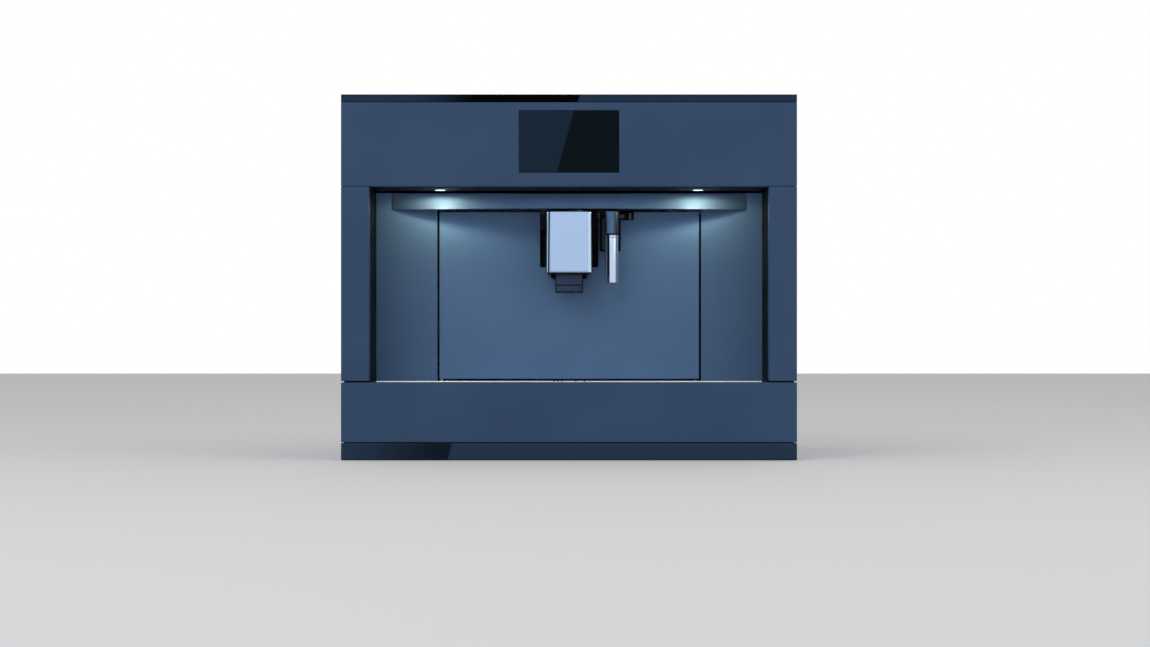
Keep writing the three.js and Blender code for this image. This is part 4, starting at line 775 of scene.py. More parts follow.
# A darker copy of the navy: painted shade on the plate in the wand's notch and on the nozzle block's front.
SHADED_NAVY = replace(NAVY, name="navy_painted_shade", slot="navy_plastic", colour=(36, 52, 76), second=(42, 60, 86))
GREY = Finish(
    "grey_plastic", colour=(72, 78, 86), second=(82, 88, 96), pattern=Pattern.MOULDED, scale=1300,
    rough=0.5, spread=0.06, level=0.4, relief=0.03, dust=0.15,
)
SILICONE = Finish(
    "silicone", colour=(196, 200, 203), second=(208, 211, 213), pattern=Pattern.MOULDED, scale=700,
    rough=0.55, spread=0.05, level=0.4, relief=0.02, dust=0.3,
)
BOARD = Finish(
    "circuit_board", colour=(24, 78, 58), second=(34, 98, 70), pattern=Pattern.SPANGLE, scale=260,
    rough=0.42, spread=0.08, relief=0.02, dust=0.3,
)
LAMP = LampFinish(
    "lamp_lens", colour=(229, 244, 255), second=(240, 250, 255), pattern=Pattern.MOULDED, scale=1200,
    rough=0.3, spread=0.04, relief=0.01, dust=0,
)
CLEAR = ClearFinish(
    "clear_plastic", colour=(214, 226, 236), second=(222, 232, 240), pattern=Pattern.GRAIN, scale=900,
    rough=0.09, spread=0.03, relief=0.01, wear_and_highlight=0.1, dust=0.1,
)


# ---------------------------------------------------------------- fitting the pieces


def fit(made: bpy.types.Object, body: str, finish: Finish, *nodes: str) -> None:
    """Dresses a new piece, ties it to its body and hides the solids that it stands for.

    Args:
        made: the piece.
        body: the body that it moves with.
        finish: its finish.
        nodes: the solids that it replaces.
    """
    made.data.materials.clear()
    made.data.materials.append(finish.material())
    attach(made, body)
    if nodes:
        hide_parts(*nodes)
    LOG.info("%s: %d faces on %s", made.name, len(made.data.polygons), body)


def dress(finish: Finish, *nodes: str) -> None:
    """Dresses solids that keep their shape.

    Args:
        finish: their finish.
        nodes: the solids.
    """
    for node in nodes:
        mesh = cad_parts[node].data
        mesh.materials.clear()
        mesh.materials.append(finish.material())
        LOG.info("%s: %s", node, finish.name)


def ribbon(outer: np.ndarray, inner: np.ndarray, low: float, high: float) -> np.ndarray:
    """Rings of a strip between two open paths in the x-z plane, from one level of y to another.

    Ring k is the rectangle outer[k], inner[k] at low and at high.

    Args:
        outer: (n, 2) points.
        inner: (n, 2) points, one for each outer one.
        low: the lower y.
        high: the higher y.

    Returns:
        The (n, 4, 3) rings.
    """
    corners = np.stack([outer, outer, inner, inner], axis=1)
    levels = np.broadcast_to(np.array([low, high, high, low]), corners.shape[:2])
    return np.stack([corners[..., 0], levels, corners[..., 1]], axis=-1)


def plug(
    low: np.ndarray, high: np.ndarray, radius: float, axes: str = "xyz", corner: float | None = None
) -> np.ndarray:
    """Rings of a block whose edges are rounded at both ends.

    The outline is the rectangle of the first two axes; at each end it moves in by r (1 - sin a) while the
    level moves by r (1 - cos a).

    Args:
        low: its lowest corner.
        high: its highest corner.
        radius: the radius of the edges.
        axes: the outline's two axes and the axis of the levels.
        corner: the radius of the outline's corners, the same as the edges' when left out.

    Returns:
        The rings.
    """
    first, second, level = ("xyz".index(axis) for axis in axes)
    outline = Outline(rectangle(low[[first, second]], high[[first, second]]), corner or radius)
    edge = quarter(radius)
    band = np.array([[radius + FLAT_BAND / 2, 0.0]])
    start = np.concatenate([band, edge]) + [0, low[level]]
    end = np.concatenate([band, edge])[::-1] * [1, -1] + [0, high[level]]
    return stacked(outline, np.concatenate([start, end]), axes)


# ---------------------------------------------------------------- the front


@dataclass
class FrontPanels:
    """The satin panels, the gloss strips and the display: pans open at the rear, with rounded edges."""

    edge: float = 1.1 * MM
    corner: float = 0.8 * MM
    skin: float = 3 * MM
    flange: float = 2 * MM
    window_play: float = 0.3 * MM
    window_corner: float = 1 * MM
    glass_edge: float = 0.35 * MM

    def pan_profile(self, front: float, rear: float) -> np.ndarray:
        """The profile of a pan: from the flat face over the edge, round the flange and to the inner face.

        Args:
            front: the y of its front.
            rear: the y of its flange's rear.

        Returns:
            The (n, 2) pairs of inset and y.
        """
        face = np.array([[self.edge + FLAT_BAND, front]])
        edge = quarter(self.edge) + [0, front]
        back = np.array([[0, rear], [self.flange, rear], [self.flange, front + self.skin]])
        return np.concatenate([face, edge, back])

    def outline(self, node: str) -> Outline:
        """Returns a node's front outline with its corners eased."""
        low, high = box(node)
        return Outline(rectangle(low[[0, 2]], high[[0, 2]]), self.corner)

    def pan(self, name: str, node: str, body: str, finish: Finish) -> None:
        """Builds one pan in place of a panel's solid.

        Args:
            name: the piece's name.
            node: the solid that it replaces.
            body: its body.
            finish: its finish.
        """
        low, high = box(node)
        rings = stacked(self.outline(node), self.pan_profile(low[1], high[1]), "xzy")
        fit(piece(name, rings), body, finish, node)

    def display_panel(self) -> None:
        """Builds the upper panel, whose rings run round its window."""
        low, high = box("upper_panel")
        glass = box("display_glass")
        sides = rectangle(glass[0][[0, 2]] - self.window_play, glass[1][[0, 2]] + self.window_play)
        window = Outline(sides, self.window_corner)
        front, inner = low[1], low[1] + self.skin
        sill = np.array([[0, inner], [0, front + self.glass_edge], [-self.glass_edge, front]])
        around = stacked(self.outline("upper_panel"), self.pan_profile(front, high[1]), "xzy")
        rings = np.concatenate([stacked(window, sill, "xzy"), around])
        fit(piece("display_panel", rings, ends=Skin.CLOSED), "machine", SATIN, "upper_panel")

    def glass(self) -> None:
        """Builds the display's glass, with a ground edge."""
        low, high = box("display_glass")
        rings = plug(low, high, self.glass_edge, "xzy", self.window_corner)
        fit(piece("touch_glass", rings), "machine", SCREEN, "display_glass")

    def build(self) -> None:
        """Builds every panel of the front."""
        self.display_panel()
        self.glass()
        for side in ("left", "right"):
            self.pan(f"{side}_pillar_panel", f"pillar_{side}", "machine", SATIN)
        self.pan("drawer_front", "lower_panel", "drip_drawer", SATIN)
        self.pan("top_gloss_strip", "top_strip", "machine", TOP_GLOSS)
        self.pan("bottom_gloss_strip", "bottom_strip", "machine", GLOSS)
        dress(BLACK, "display_module")


# ---------------------------------------------------------------- the cup recess


@dataclass
class CupRecess:
    """The recess behind the pillars: its walls, the curved visor and the two lamps.

    The shapes of the lens and the bezel pair a share of their width with millimetres up from the ceiling.
    """

    lip: float = 0.35 * MM
    roll: float = 0.5 * MM
    shade_lift: float = 0.4 * MM
    shade_top: float = 2.2 * MM
    visor_columns: int = 121
    core_margin: int = 2
    core_rise: float = 0.2 * MM
    visor_rows: int = 25
    roll_steps: int = 5
    lens: float = 7 * MM
    lens_shape: Profile = ((0.01, -1), (0.94, -1), (1, -0.85), (1, 0))
    bezel: float = 7.5 * MM
    bezel_shape: Profile = ((0, -0.7), (0.4, -0.8), (0.4, -0.8), (1, -0.6), (1, -0.05), (0, -0.05))
    neck: float = 5.9 * MM
    neck_gap: float = 0.05 * MM
    carrier: float = 8 * MM
    carrier_edge: float = 0.5 * MM
    carrier_corner: float = 2 * MM
    seal_width: float = 2.6 * MM
    seal_play: float = 0.3 * MM
    door_seal: float = 1.2 * MM
    door_seal_width: float = 8 * MM
    door_seal_lap: float = 3 * MM
    door_seal_head: float = 2 * MM
    ceiling_shade_strip: float = 0.25 * MM
    strip_power: float = 0.087
    strip_share: float = 0.9
    strip_gap: float = 14 * MM
    strip_drop: float = 4 * MM
    strip_tilt: float = math.radians(80)
    strip_tint: Colour = (226, 244, 255)
    lamp_power: float = 0.305
    lamp_tint: Colour = (255, 240, 190)
    lamp_throw: float = 12 * MM
    lamp_drop: float = 4 * MM
    lamp_cone: float = math.radians(176)
    lamp_blend: float = 0.25
    lamp_source: float = 4 * MM

    def visor(self) -> None:
        """Builds the visor: a sheet whose lower edge bows out on an arc, over a black core that paints the
        shade under it and along its top.

        With the arc's reach R(x) = sqrt(r^2 - x^2) - (r - reach), the sheet's face at a share s of its height
        lies at y = back - lip - R(x) (1 - s), and its lower edge rolls back on a quarter circle.
        """
        low, high = box("visor")
        half, back, bottom, top = high[0], high[1], low[2], high[2]
        head = top - self.shade_top
        reach = back - self.lip - low[1]
        radius = (half**2 + reach**2) / (2 * reach)
        x = np.linspace(-half, half, self.visor_columns)
        bow = (np.sqrt(radius**2 - x**2) - (radius - reach))[:, None]
        rise = np.linspace(1, 0, self.visor_rows)[None, :]
        face_y = back - self.lip - bow * rise[:, ::-1]
        face_z = bottom + self.roll + (head - bottom - self.roll) * rise + 0 * bow
        turn = np.linspace(0, math.pi / 2, self.roll_steps)[None, 1:]
        roll_y = face_y[:, -1:] + self.roll * (1 - np.cos(turn))
        roll_z = bottom + self.roll * (1 - np.sin(turn)) + 0 * bow
        inner_y = np.minimum(face_y[:, ::-1] + self.roll, back)
        y = np.concatenate([face_y, roll_y, inner_y], axis=1)
        z = np.concatenate([face_z, roll_z, face_z[:, ::-1]], axis=1)
        sheet = np.stack([np.broadcast_to(x[:, None], y.shape), y, z], axis=-1)
        made = piece("curved_visor", sheet)
        fit(made, "machine", VISOR_SATIN, "visor")
        self.ceiling_light(made)
        inside = slice(self.core_margin, -self.core_margin)
        rear = np.full((len(x), 2), back)
        core_y = np.concatenate([inner_y[:, :1], inner_y[:, -1:], inner_y[:, -1:], rear], axis=1)[inside]
        foot, crown = bottom + self.shade_lift, top + self.core_rise
        level = np.broadcast_to([foot, head, crown, crown, foot], core_y.shape)
        core = np.stack([np.broadcast_to(x[inside, None], core_y.shape), core_y, level], axis=-1)
        fit(piece("visor_shade_core", core), "machine", SHADE)

    def lamps(self) -> None:
        """Builds the bar that carries the two lamps, their lenses and bezels, and the light of each."""
        low, high = box("lamp_bar")
        depth = (low[1] + high[1]) / 2
        ceiling = box("visor")[1][2]
        offset = high[0] - (high[1] - low[1]) / 2
        lens = shaped(self.lens_shape, ceiling, self.lens)
        bezel = shaped(self.bezel_shape, ceiling, self.bezel - self.lens, self.lens)
        neck = np.array([[self.neck, ceiling + self.neck_gap], [self.neck, high[2] - self.carrier / 2]])
        necks = [turned((side * offset, depth), neck) for side in (-1, 1)]
        start = np.array([low[0], low[1], high[2] - self.carrier])
        bar = plug(start, high, self.carrier_edge, "xyz", self.carrier_corner)
        fit(piece("lamp_carrier", bar, *necks), "machine", GREY, "lamp_bar")
        for side, label in ((-1, "left"), (1, "right")):
            centre = (side * offset, depth)
            glow = piece(f"lamp_lens_{label}", turned(centre, lens))
            fit(glow, "machine", LAMP)
            ring = piece(f"lamp_bezel_{label}", turned(centre, bezel), ends=Skin.CLOSED)
            fit(ring, "machine", CHROME)
            light = bpy.data.lights.new(f"cup_light_{label}", "SPOT")
            light.energy, light.color = self.lamp_power, linear(self.lamp_tint)[:3]
            light.spot_size, light.spot_blend = self.lamp_cone, self.lamp_blend
            light.shadow_soft_size = self.lamp_source
            self.hang(light, glow, (centre[0], depth + self.lamp_throw, ceiling - self.lamp_drop), 0)

    def hang(self, light: bpy.types.Light, on: bpy.types.Object, place: Place, tilt: float) -> None:
        """Hangs a light on a piece, so that the two move together.

        Args:
            light: the light.
            on: the piece.
            place: where it hangs.
            tilt: how far it turns about x from looking straight down.
        """
        holder = bpy.data.objects.new(light.name, light)
        holder.location, holder.rotation_euler = place, (tilt, 0, 0)
        holder.parent = on
        bpy.context.scene.collection.objects.link(holder)

    def ceiling_light(self, visor: bpy.types.Object) -> None:
        """Hangs the soft strip of light that the ceiling throws on the visor.

        Args:
            visor: the piece that it moves with.
        """
        low, high = box("visor")
        light = bpy.data.lights.new("ceiling_light", "AREA")
        light.shape = "RECTANGLE"
        light.size, light.size_y = self.strip_share * (high[0] - low[0]), 2 * self.strip_drop
        light.energy, light.color = self.strip_power, linear(self.strip_tint)[:3]
        place = (0, low[1] - self.strip_gap, high[2] - self.strip_drop)
        self.hang(light, visor, place, self.strip_tilt)

    def seals(self) -> None:
        """Builds the black seals round the liner's mouth and behind the door's gap, and a black strip of
        painted shade along the ceiling.
        """
        liner, frame_box, door = box("recess_liner"), box("front_frame"), box("door_panel")
        half, foot, head = liner[1][0], liner[0][2], liner[1][2]
        path = np.array([[-half, foot], [-half, head], [half, head], [half, foot]])
        inner = path - np.sign(path - [0, foot + self.seal_play]) * self.seal_width
        inner[[0, -1], 1] = foot
        seal = ribbon(path, inner, frame_box[1][1] - self.seal_play, liner[0][1] + self.seal_play)
        fit(piece("frame_seal", seal), "machine", SHADE)
        edge = door[1][0] - self.door_seal_lap
        gap = np.array([[edge, foot], [edge, door[1][2] - self.door_seal_head]])
        rear = door[1][1] + self.seal_play
        strip = ribbon(gap + [self.door_seal_width, 0], gap, rear, rear + self.door_seal)
        fit(piece("door_seal", strip), "machine", SHADE)
        # A black strip along the ceiling: painted shade.
        visor_high = box("visor")[1]
        grille_half = box("drip_grille")[1][0]
        start = np.array([-grille_half, visor_high[1] + TIGHTEST, visor_high[2] - self.shade_top])
        end = np.array([grille_half, visor_high[1] + self.ceiling_shade_strip, visor_high[2] + self.core_rise])
        fit(piece("ceiling_shade_strip", plug(start, end, TIGHTEST, "xzy", 2 * TIGHTEST)), "machine", SHADE)

    def build(self) -> None:
        """Builds the recess."""
        self.visor()
        self.lamps()
        self.seals()
        # The back wall takes the lighter satin: painted light.
        dress(LIT_SATIN, "recess_back")
        # The liner's walls and ceiling are near black: painted shade.
        dress(SHADE, "recess_liner")
        dress(DARK, "front_frame")


# ---------------------------------------------------------------- the service door and what it carries


@dataclass
class ServiceDoor:
    """The door in the recess's back wall, with the spout's channel and the wand's socket behind it."""

    edge: float = 0.9 * MM
    skin: float = 2.5 * MM
    rim: float = 2 * MM
    corner: float = 1 * MM
    notch_corner: float = 2 * MM
    notch_half: float = 39 * MM
    notch_drop: float = 75 * MM
    wand_left: float = 41.2 * MM
    wand_right: float = 69.2 * MM
    wand_drop: float = 53.5 * MM
    slot_right: float = 86.8 * MM
    slot_drop: float = 11 * MM
    border: float = 1.7 * MM
    face_play: float = 0.15 * MM
    plate_drop: float = 10 * MM
    plate_sink: float = 5 * MM
    plate_edge: float = 0.4 * MM
    pipe: float = 3.4 * MM
    pipe_ends: tuple[float, float] = (-2 * MM, 5 * MM)
    clip: float = 2.6 * MM
    clip_insets: tuple[float, float] = (1 * MM, 5 * MM)

    def panel(self) -> None:
        """Builds the notched skin with eased edges, and the rim that stiffens it."""
        low, high = box("door_panel")
        top = high[2]
        bend, ease = self.notch_corner, self.corner
        corners = np.array([
            (low[0], low[2], ease), (high[0], low[2], ease), (high[0], top, ease),
            (self.slot_right, top, ease), (self.slot_right, top - self.slot_drop, bend),
            (self.wand_right, top - self.slot_drop, ease), (self.wand_right, top - self.wand_drop, bend),
            (self.wand_left, top - self.wand_drop, bend), (self.wand_left, top, ease / 2),
            (self.notch_half, top, ease / 2), (self.notch_half, top - self.notch_drop, bend),
            (-self.notch_half, top - self.notch_drop, bend), (-self.notch_half, top, ease),
            (low[0], top, ease),
        ])
        outline = Outline(corners[:, :2], corners[:, 2])
        face = np.array([[self.edge + self.face_play, 0]])
        profile = np.concatenate([face, quarter(self.edge), [[0, self.skin]]]) + [0, low[1]]
        border = np.array([
            (-self.notch_half, top), (low[0], top), (low[0], low[2]), (high[0], low[2]), (high[0], top),
            (self.slot_right, top),
        ])
        centre = (low + high)[[0, 2]] / 2
        inner = border - np.sign(border - centre) * self.rim
        inner[[0, -1], 0] = border[[0, -1], 0]
        rim = ribbon(border, inner, low[1] + self.skin, high[1])
        door = piece("notched_door", stacked(outline, profile, "xzy"), rim)
        # The door takes the lighter satin: painted light.
        fit(door, "service_door", LIT_DOOR_SATIN, "door_panel")

    def details(self) -> None:
        """Builds the navy plate, the water pipe and the two retaining clips that show in the wand's notch."""
        socket = box("wand_socket")
        low, high = box("door_panel")
        foot = high[2] - self.wand_drop + self.border
        plate_low = np.array([self.wand_left + 2 * self.border, low[1] + self.skin / 2, foot])
        rear = socket[0][1] + self.plate_sink
        plate_high = np.array([self.wand_right - 2 * self.border, rear, high[2] - self.plate_drop])
        plate = plug(plate_low, plate_high, self.plate_edge, "xzy")
        # Darker navy: painted shade.
        fit(piece("socket_plate", plate), "service_door", SHADED_NAVY)
        level = high[2] - self.slot_drop / 2
        path = np.array([[self.wand_right + end, low[1], level] for end in self.pipe_ends])
        fit(piece("hot_water_stub", piped(path, self.pipe)), "service_door", GREY)
        clips = []
        for x in (self.notch_half + self.clip_insets[0], self.slot_right - self.clip_insets[1]):
            near = np.array([x - self.clip / 2, low[1] - self.clip / 2, level - 2 * self.clip])
            far = np.array([x + self.clip / 2, rear, level + self.clip])
            clips.append(plug(near, far, self.plate_edge))
        fit(piece("socket_clips", *clips), "service_door", GREY)

    def build(self) -> None:
        """Builds the door."""
        self.panel()
        self.details()
        dress(DEEP, "spout_channel", "wand_socket")


@dataclass
class CoffeeSpout:
    """The height-adjustable spout: a chrome hood with a bright face, and the nozzle block under it.

    The shapes of the nozzle block's ends and of an outlet are in millimetres, across and up.
    """

    wall: float = 2 * MM
    corner: float = 5 * MM
    rear_corner: float = 0.2 * MM
    corner_steps: int = 7
    wall_levels: int = 9
    flare: float = 0.025
    face_half: float = 25 * MM
    face_proud: float = 0.6 * MM
    face_edge: float = 0.5 * MM
    face_margin: float = 0.6 * MM
    face_corner: float = 1 * MM
    top_edge: float = 1.5 * MM
    nozzle_corner: float = 2.5 * MM
    nozzle_foot: Profile = ((3, 0), (0.8, 0), (0.2, 0.4), (0, 1))
    nozzle_head: Profile = ((0, -0.6), (0.6, 0), (3, 0))
    plate: float = 0.6 * MM
    plate_edge: float = 0.25 * MM
    plate_drop: float = 0.3 * MM
    border: float = 1.3 * MM
    groove_level: float = 8.8 * MM
    groove_width: float = 1.7 * MM
    foot_half: float = 24 * MM
    foot_drop: float = 7.4 * MM
    outlet: Profile = ((2.5, 0.5), (3.6, 0.4), (3.8, -0.2), (3.4, -0.3), (2.6, -0.3), (2.4, 0))
    outlet_sides: int = 28
    outlet_offset: float = 10 * MM

    def section(self, half: float, front: float, rear: float) -> np.ndarray:
        """The hood's section: a U of even thickness, open at the rear.

        Args:
            half: half its outer width.
            front: the y of its front.
            rear: the y of its open ends.

        Returns:
            The (n, 2) outline.
        """
        outer = np.array([[-half, rear], [-half, front], [half, front], [half, rear]])
        inner = np.array([[half - self.wall, rear], [half - self.wall, front + self.wall]])
        bends = [self.rear_corner, self.corner, self.corner, self.rear_corner]
        bends += [self.rear_corner, self.corner - self.wall, self.corner - self.wall, self.rear_corner]
        corners = np.concatenate([outer, inner, inner[::-1] * [-1, 1]])
        return rounded(corners, np.array(bends), self.corner_steps)

    def cover(self) -> None:
        """Builds the hood's walls, which widen downward by the flare, its rounded top and its bright face."""
        low, high = box("spout_cover")
        half, front = high[0] / (1 + self.flare), low[1] + self.face_proud
        section = self.section(half, front, high[1])
        share = np.linspace(1, 0, self.wall_levels)
        level = low[2] + (high[2] - self.wall - low[2]) * (1 - share)
        walls = np.empty((len(level), len(section), 3))
        walls[:, :, 0] = section[None, :, 0] * (1 + self.flare * share[:, None])
        walls[:, :, 1] = section[None, :, 1]
        walls[:, :, 2] = level[:, None]
        bends = np.array([self.corner, self.corner, self.rear_corner, self.rear_corner])
        outline = Outline(rectangle([-half, front], [half, high[1]]), bends, self.corner_steps)
        edge = quarter(self.top_edge)[::-1] * [1, -1] + [0, high[2]]
        base = [[0, high[2] - self.wall]]
        lid = np.concatenate([base, edge, [[self.top_edge + FLAT_BAND, high[2]]]])
        hood = piece("spout_hood", walls, stacked(outline, lid, "xyz"))
        fit(hood, "coffee_spout", HOOD_REFLECTION, "spout_cover")
        face_low = np.array([-self.face_half, low[1], low[2] + self.face_margin])
        face_high = np.array([self.face_half, front + self.face_edge, high[2] - self.face_margin])
        face = plug(face_low, face_high, self.face_edge, "xzy", self.face_corner)
        fit(piece("spout_face", face), "coffee_spout", BRIGHT)

    def nozzles(self) -> None:
        """Builds the black nozzle block, the two navy plates on its front and the two outlets below."""
        low, high = box("spout_nozzles")
        groove = low[2] + self.groove_level
        outline = Outline(rectangle(low[:2] + [0, self.plate], high[:2]), self.nozzle_corner)
        profile = np.concatenate([shaped(self.nozzle_foot, low[2]), shaped(self.nozzle_head, high[2])])
        block = stacked(outline, profile, "xyz")
        fit(piece("nozzle_block", block), "coffee_spout", BLACK, "spout_nozzles")
        plates = []
        upper = (groove + self.groove_width, high[2] - self.plate_drop)
        for bottom, top in ((low[2] + self.border, groove), upper):
            start = np.array([low[0] + self.border, low[1], bottom])
            end = np.array([high[0] - self.border, low[1] + 3 * self.plate, top])
            plates.append(plug(start, end, self.plate_edge, "xzy", 2 * self.plate_edge))
        # Darker navy: painted shade.
        fit(piece("nozzle_plates", *plates), "coffee_spout", SHADED_NAVY)
        cover = box("spout_cover")
        feet = []
        for near, far in ((-self.foot_half, low[0] - self.plate), (high[0] + self.plate, self.foot_half)):
            start = np.array([near, low[1] + 2 * self.wall, cover[0][2] - self.foot_drop])
            end = np.array([far, high[1], cover[0][2] + self.wall])
            feet.append(plug(start, end, self.plate, "xzy"))
        fit(piece("carriage_feet", *feet), "coffee_spout", SHADE)
        outlet, middle = shaped(self.outlet, low[2]), (low[1] + high[1]) / 2
        places = [(side * self.outlet_offset, middle) for side in (-1, 1)]
        outlets = [turned(place, outlet, sides=self.outlet_sides) for place in places]
        fit(piece("nozzle_outlets", *outlets, ends=Skin.CLOSED), "coffee_spout", STEEL)

    def build(self) -> None:
        """Builds the spout."""
        self.cover()
        self.nozzles()
        dress(DEEP, "spout_carriage")


@dataclass
class HotWaterWand:
    """The hot-water wand: a satin knob on a boss, a black ring, a collar and a bright tube."""

    edge: float = 1 * MM
    flat_inset: float = 3 * MM
    ring: float = 1.7 * MM
    ring_insets: tuple[float, float] = (0.7 * MM, 0.4 * MM)
    boss: float = 7.5 * MM
    boss_drop: float = 15 * MM
    bore: float = 4.5 * MM
    collar_height: float = 4 * MM
    collar_edge: float = 0.5 * MM
    collar_groove: float = 0.5 * MM
    tube_inset: float = 0.4 * MM
    tube_edge: float = 0.6 * MM
    sides: int = 64

    def grip(self, centre: tuple[float, float], radius: float) -> None:
        """Builds the knob with its boss, and the black ring under it.

        Args:
            centre: the x and y of the knob's axis.
            radius: the knob's radius.
        """
        low, high = box("wand_knob")
        foot, flat, edge = low[2] + self.ring, radius - self.flat_inset, quarter(self.edge)
        upper = np.stack([radius - edge[:, 0], high[2] - edge[:, 1]], axis=1)
        lower = np.stack([radius - edge[:, 0], foot + edge[:, 1]], axis=1)[::-1]
        crown, heel = [[POLE, high[2]], [flat, high[2]]], [[flat, foot], [POLE, foot]]
        knob = turned(centre, np.concatenate([crown, upper, lower, heel]), sides=self.sides)
        stem = np.array([[self.boss, centre[1]], [self.boss, high[1]]])
        boss = turned((centre[0], high[2] - self.boss_drop), stem, "y")
        fit(piece("wand_grip", knob, boss), "hot_water_wand", SHADED_KNOB, "wand_knob")
        narrow, wide = (radius - inset for inset in self.ring_insets)
        seal = np.array([[POLE, 0], [narrow, 0], [wide, self.ring / 2], [narrow, self.ring]]) + [0, low[2]]
        fit(piece("wand_seal", turned(centre, seal, sides=self.sides)), "hot_water_wand", BLACK)

    def outlet(self, centre: tuple[float, float], radius: float) -> None:
        """Builds the collar and the tube, bored up to the collar.

        Args:
            centre: the x and y of the tube's axis.
            radius: the collar's radius.
        """
        low, high = box("wand_tube")
        foot, head, collar = low[2], high[2], high[2] - self.collar_height
        pipe, brim = (high[0] - low[0]) / 2 - self.tube_inset, radius - self.collar_edge
        profile = np.array([
            [POLE, head], [brim, head], [radius, head - self.collar_edge],
            [radius, collar + self.collar_edge], [brim, collar], [pipe, collar - self.collar_groove],
            [pipe, foot + self.tube_edge], [pipe - self.tube_edge, foot], [self.bore, foot],
            [self.bore, collar], [POLE, collar],
        ])
        tube = piece("wand_outlet", turned(centre, profile, sides=self.sides))
        fit(tube, "hot_water_wand", TUBE_REFLECTION, "wand_tube")

    def build(self) -> None:
        """Builds the wand."""
        low, high = box("wand_knob")
        radius = (high[0] - low[0]) / 2
        centre = ((low[0] + high[0]) / 2, low[1] + radius)
        self.grip(centre, radius)
        self.outlet(centre, radius)


@dataclass
class DripDrawer:
    """The drawer behind the lower panel: its tray, its grounds container and the slotted cup grille.

    The reach and the edge of the black ticks over the bead are in radii of the bead that they stand on.
    """

    thickness: float = 2 * MM
    edge: float = 0.7 * MM
    bead: float = 1.15 * MM
    bead_rise: float = 2.2 * MM
    bead_inset: float = 7 * MM
    bead_points: int = 9
    bead_sides: int = 14
    tick_places: tuple[float, ...] = (-20 * MM, -15 * MM, -9 * MM, 9 * MM, 20.4 * MM)
    tick_reach: tuple[Place, Place] = ((-1, -0.1, -0.6), (1, 2, 0.2))
    tick_edge: float = 0.2
    slot_width: float = 6 * MM
    slot_length: float = 30 * MM
    slot_pitch: float = 14 * MM
    slot_count: int = 15

    def plate(self, low: np.ndarray, high: np.ndarray) -> list[np.ndarray]:
        """The grille's top, as tiles round its slots: each tile's rings run from its slot out to its border.

        Args:
            low: the grille's lowest corner.
            high: its highest corner.

        Returns:
            One stack of rings for each slot, closed on itself.
        """
        middle = (low[:2] + high[:2]) / 2
        half = np.array([self.slot_width, self.slot_length]) / 2
        tiles = []
        for index in range(self.slot_count):
            x = middle[0] + (index - (self.slot_count - 1) / 2) * self.slot_pitch
            start = x - self.slot_pitch / 2 if index else low[0] + self.edge
            end = x + self.slot_pitch / 2 if index < self.slot_count - 1 else high[0] - self.edge
            border = Outline(rectangle([start, low[1] + self.edge], [end, high[1] - self.edge]), TIGHTEST)
            centre = np.array([x, middle[1]])
            slot = Outline(rectangle(centre - half, centre + half), half[0] - TIGHTEST)
            top, under = high[2], high[2] - self.thickness
            lead = np.array([[0, under], [0, top - self.edge / 2], [-self.edge / 2, top]])
            mouth = stacked(slot, lead, "xyz")
            rim = stacked(border, np.array([[0, top], [0, under]]), "xyz")
            tiles.append(np.concatenate([mouth, rim]))
        return tiles

    def grille(self) -> None:
        """Builds the grille: its slotted top, its rounded skirt and the near-white bead along its front, a
        painted highlight.
        """
        low, high = box("drip_grille")
        outline = Outline(rectangle(low[:2], high[:2]), 2 * self.edge)
        edge = quarter(self.edge)[::-1] * [1, -1] + [0, high[2]]
        inner = np.array([[self.edge, high[2] - self.thickness], [self.thickness, low[2]], [0, low[2]]])
        skirt = stacked(outline, np.concatenate([edge, inner]), "xyz")
        made = piece("slotted_grille", *self.plate(low, high), skirt, ends=Skin.CLOSED)
        fit(made, "drip_grille", STEEL, "drip_grille")
        ends = np.array([[low[0] + self.bead_inset, 0, 0], [high[0] - self.bead_inset, 0, 0]])
        ends += [0, low[1] + self.bead, high[2] + self.bead_rise - self.bead]
        bead = piped(np.linspace(ends[0], ends[1], self.bead_points), self.bead, self.bead_sides)
        fit(piece("grille_highlight_bead", bead), "drip_grille", HIGHLIGHT_BEAD)
        crown = high[2] + self.bead_rise
        ticks = []
        for x in self.tick_places:
            start, end = np.array([x, low[1], crown]) + self.bead * np.array(self.tick_reach)
            ticks.append(plug(start, end, self.tick_edge * self.bead))
        fit(piece("bead_ticks", *ticks), "drip_grille", SHADE)

    def build(self) -> None:
        """Builds and dresses the drawer."""
        self.grille()
        dress(BLACK, "drip_tray")
        dress(GREY, "grounds_container")


# ---------------------------------------------------------------- the body behind the front


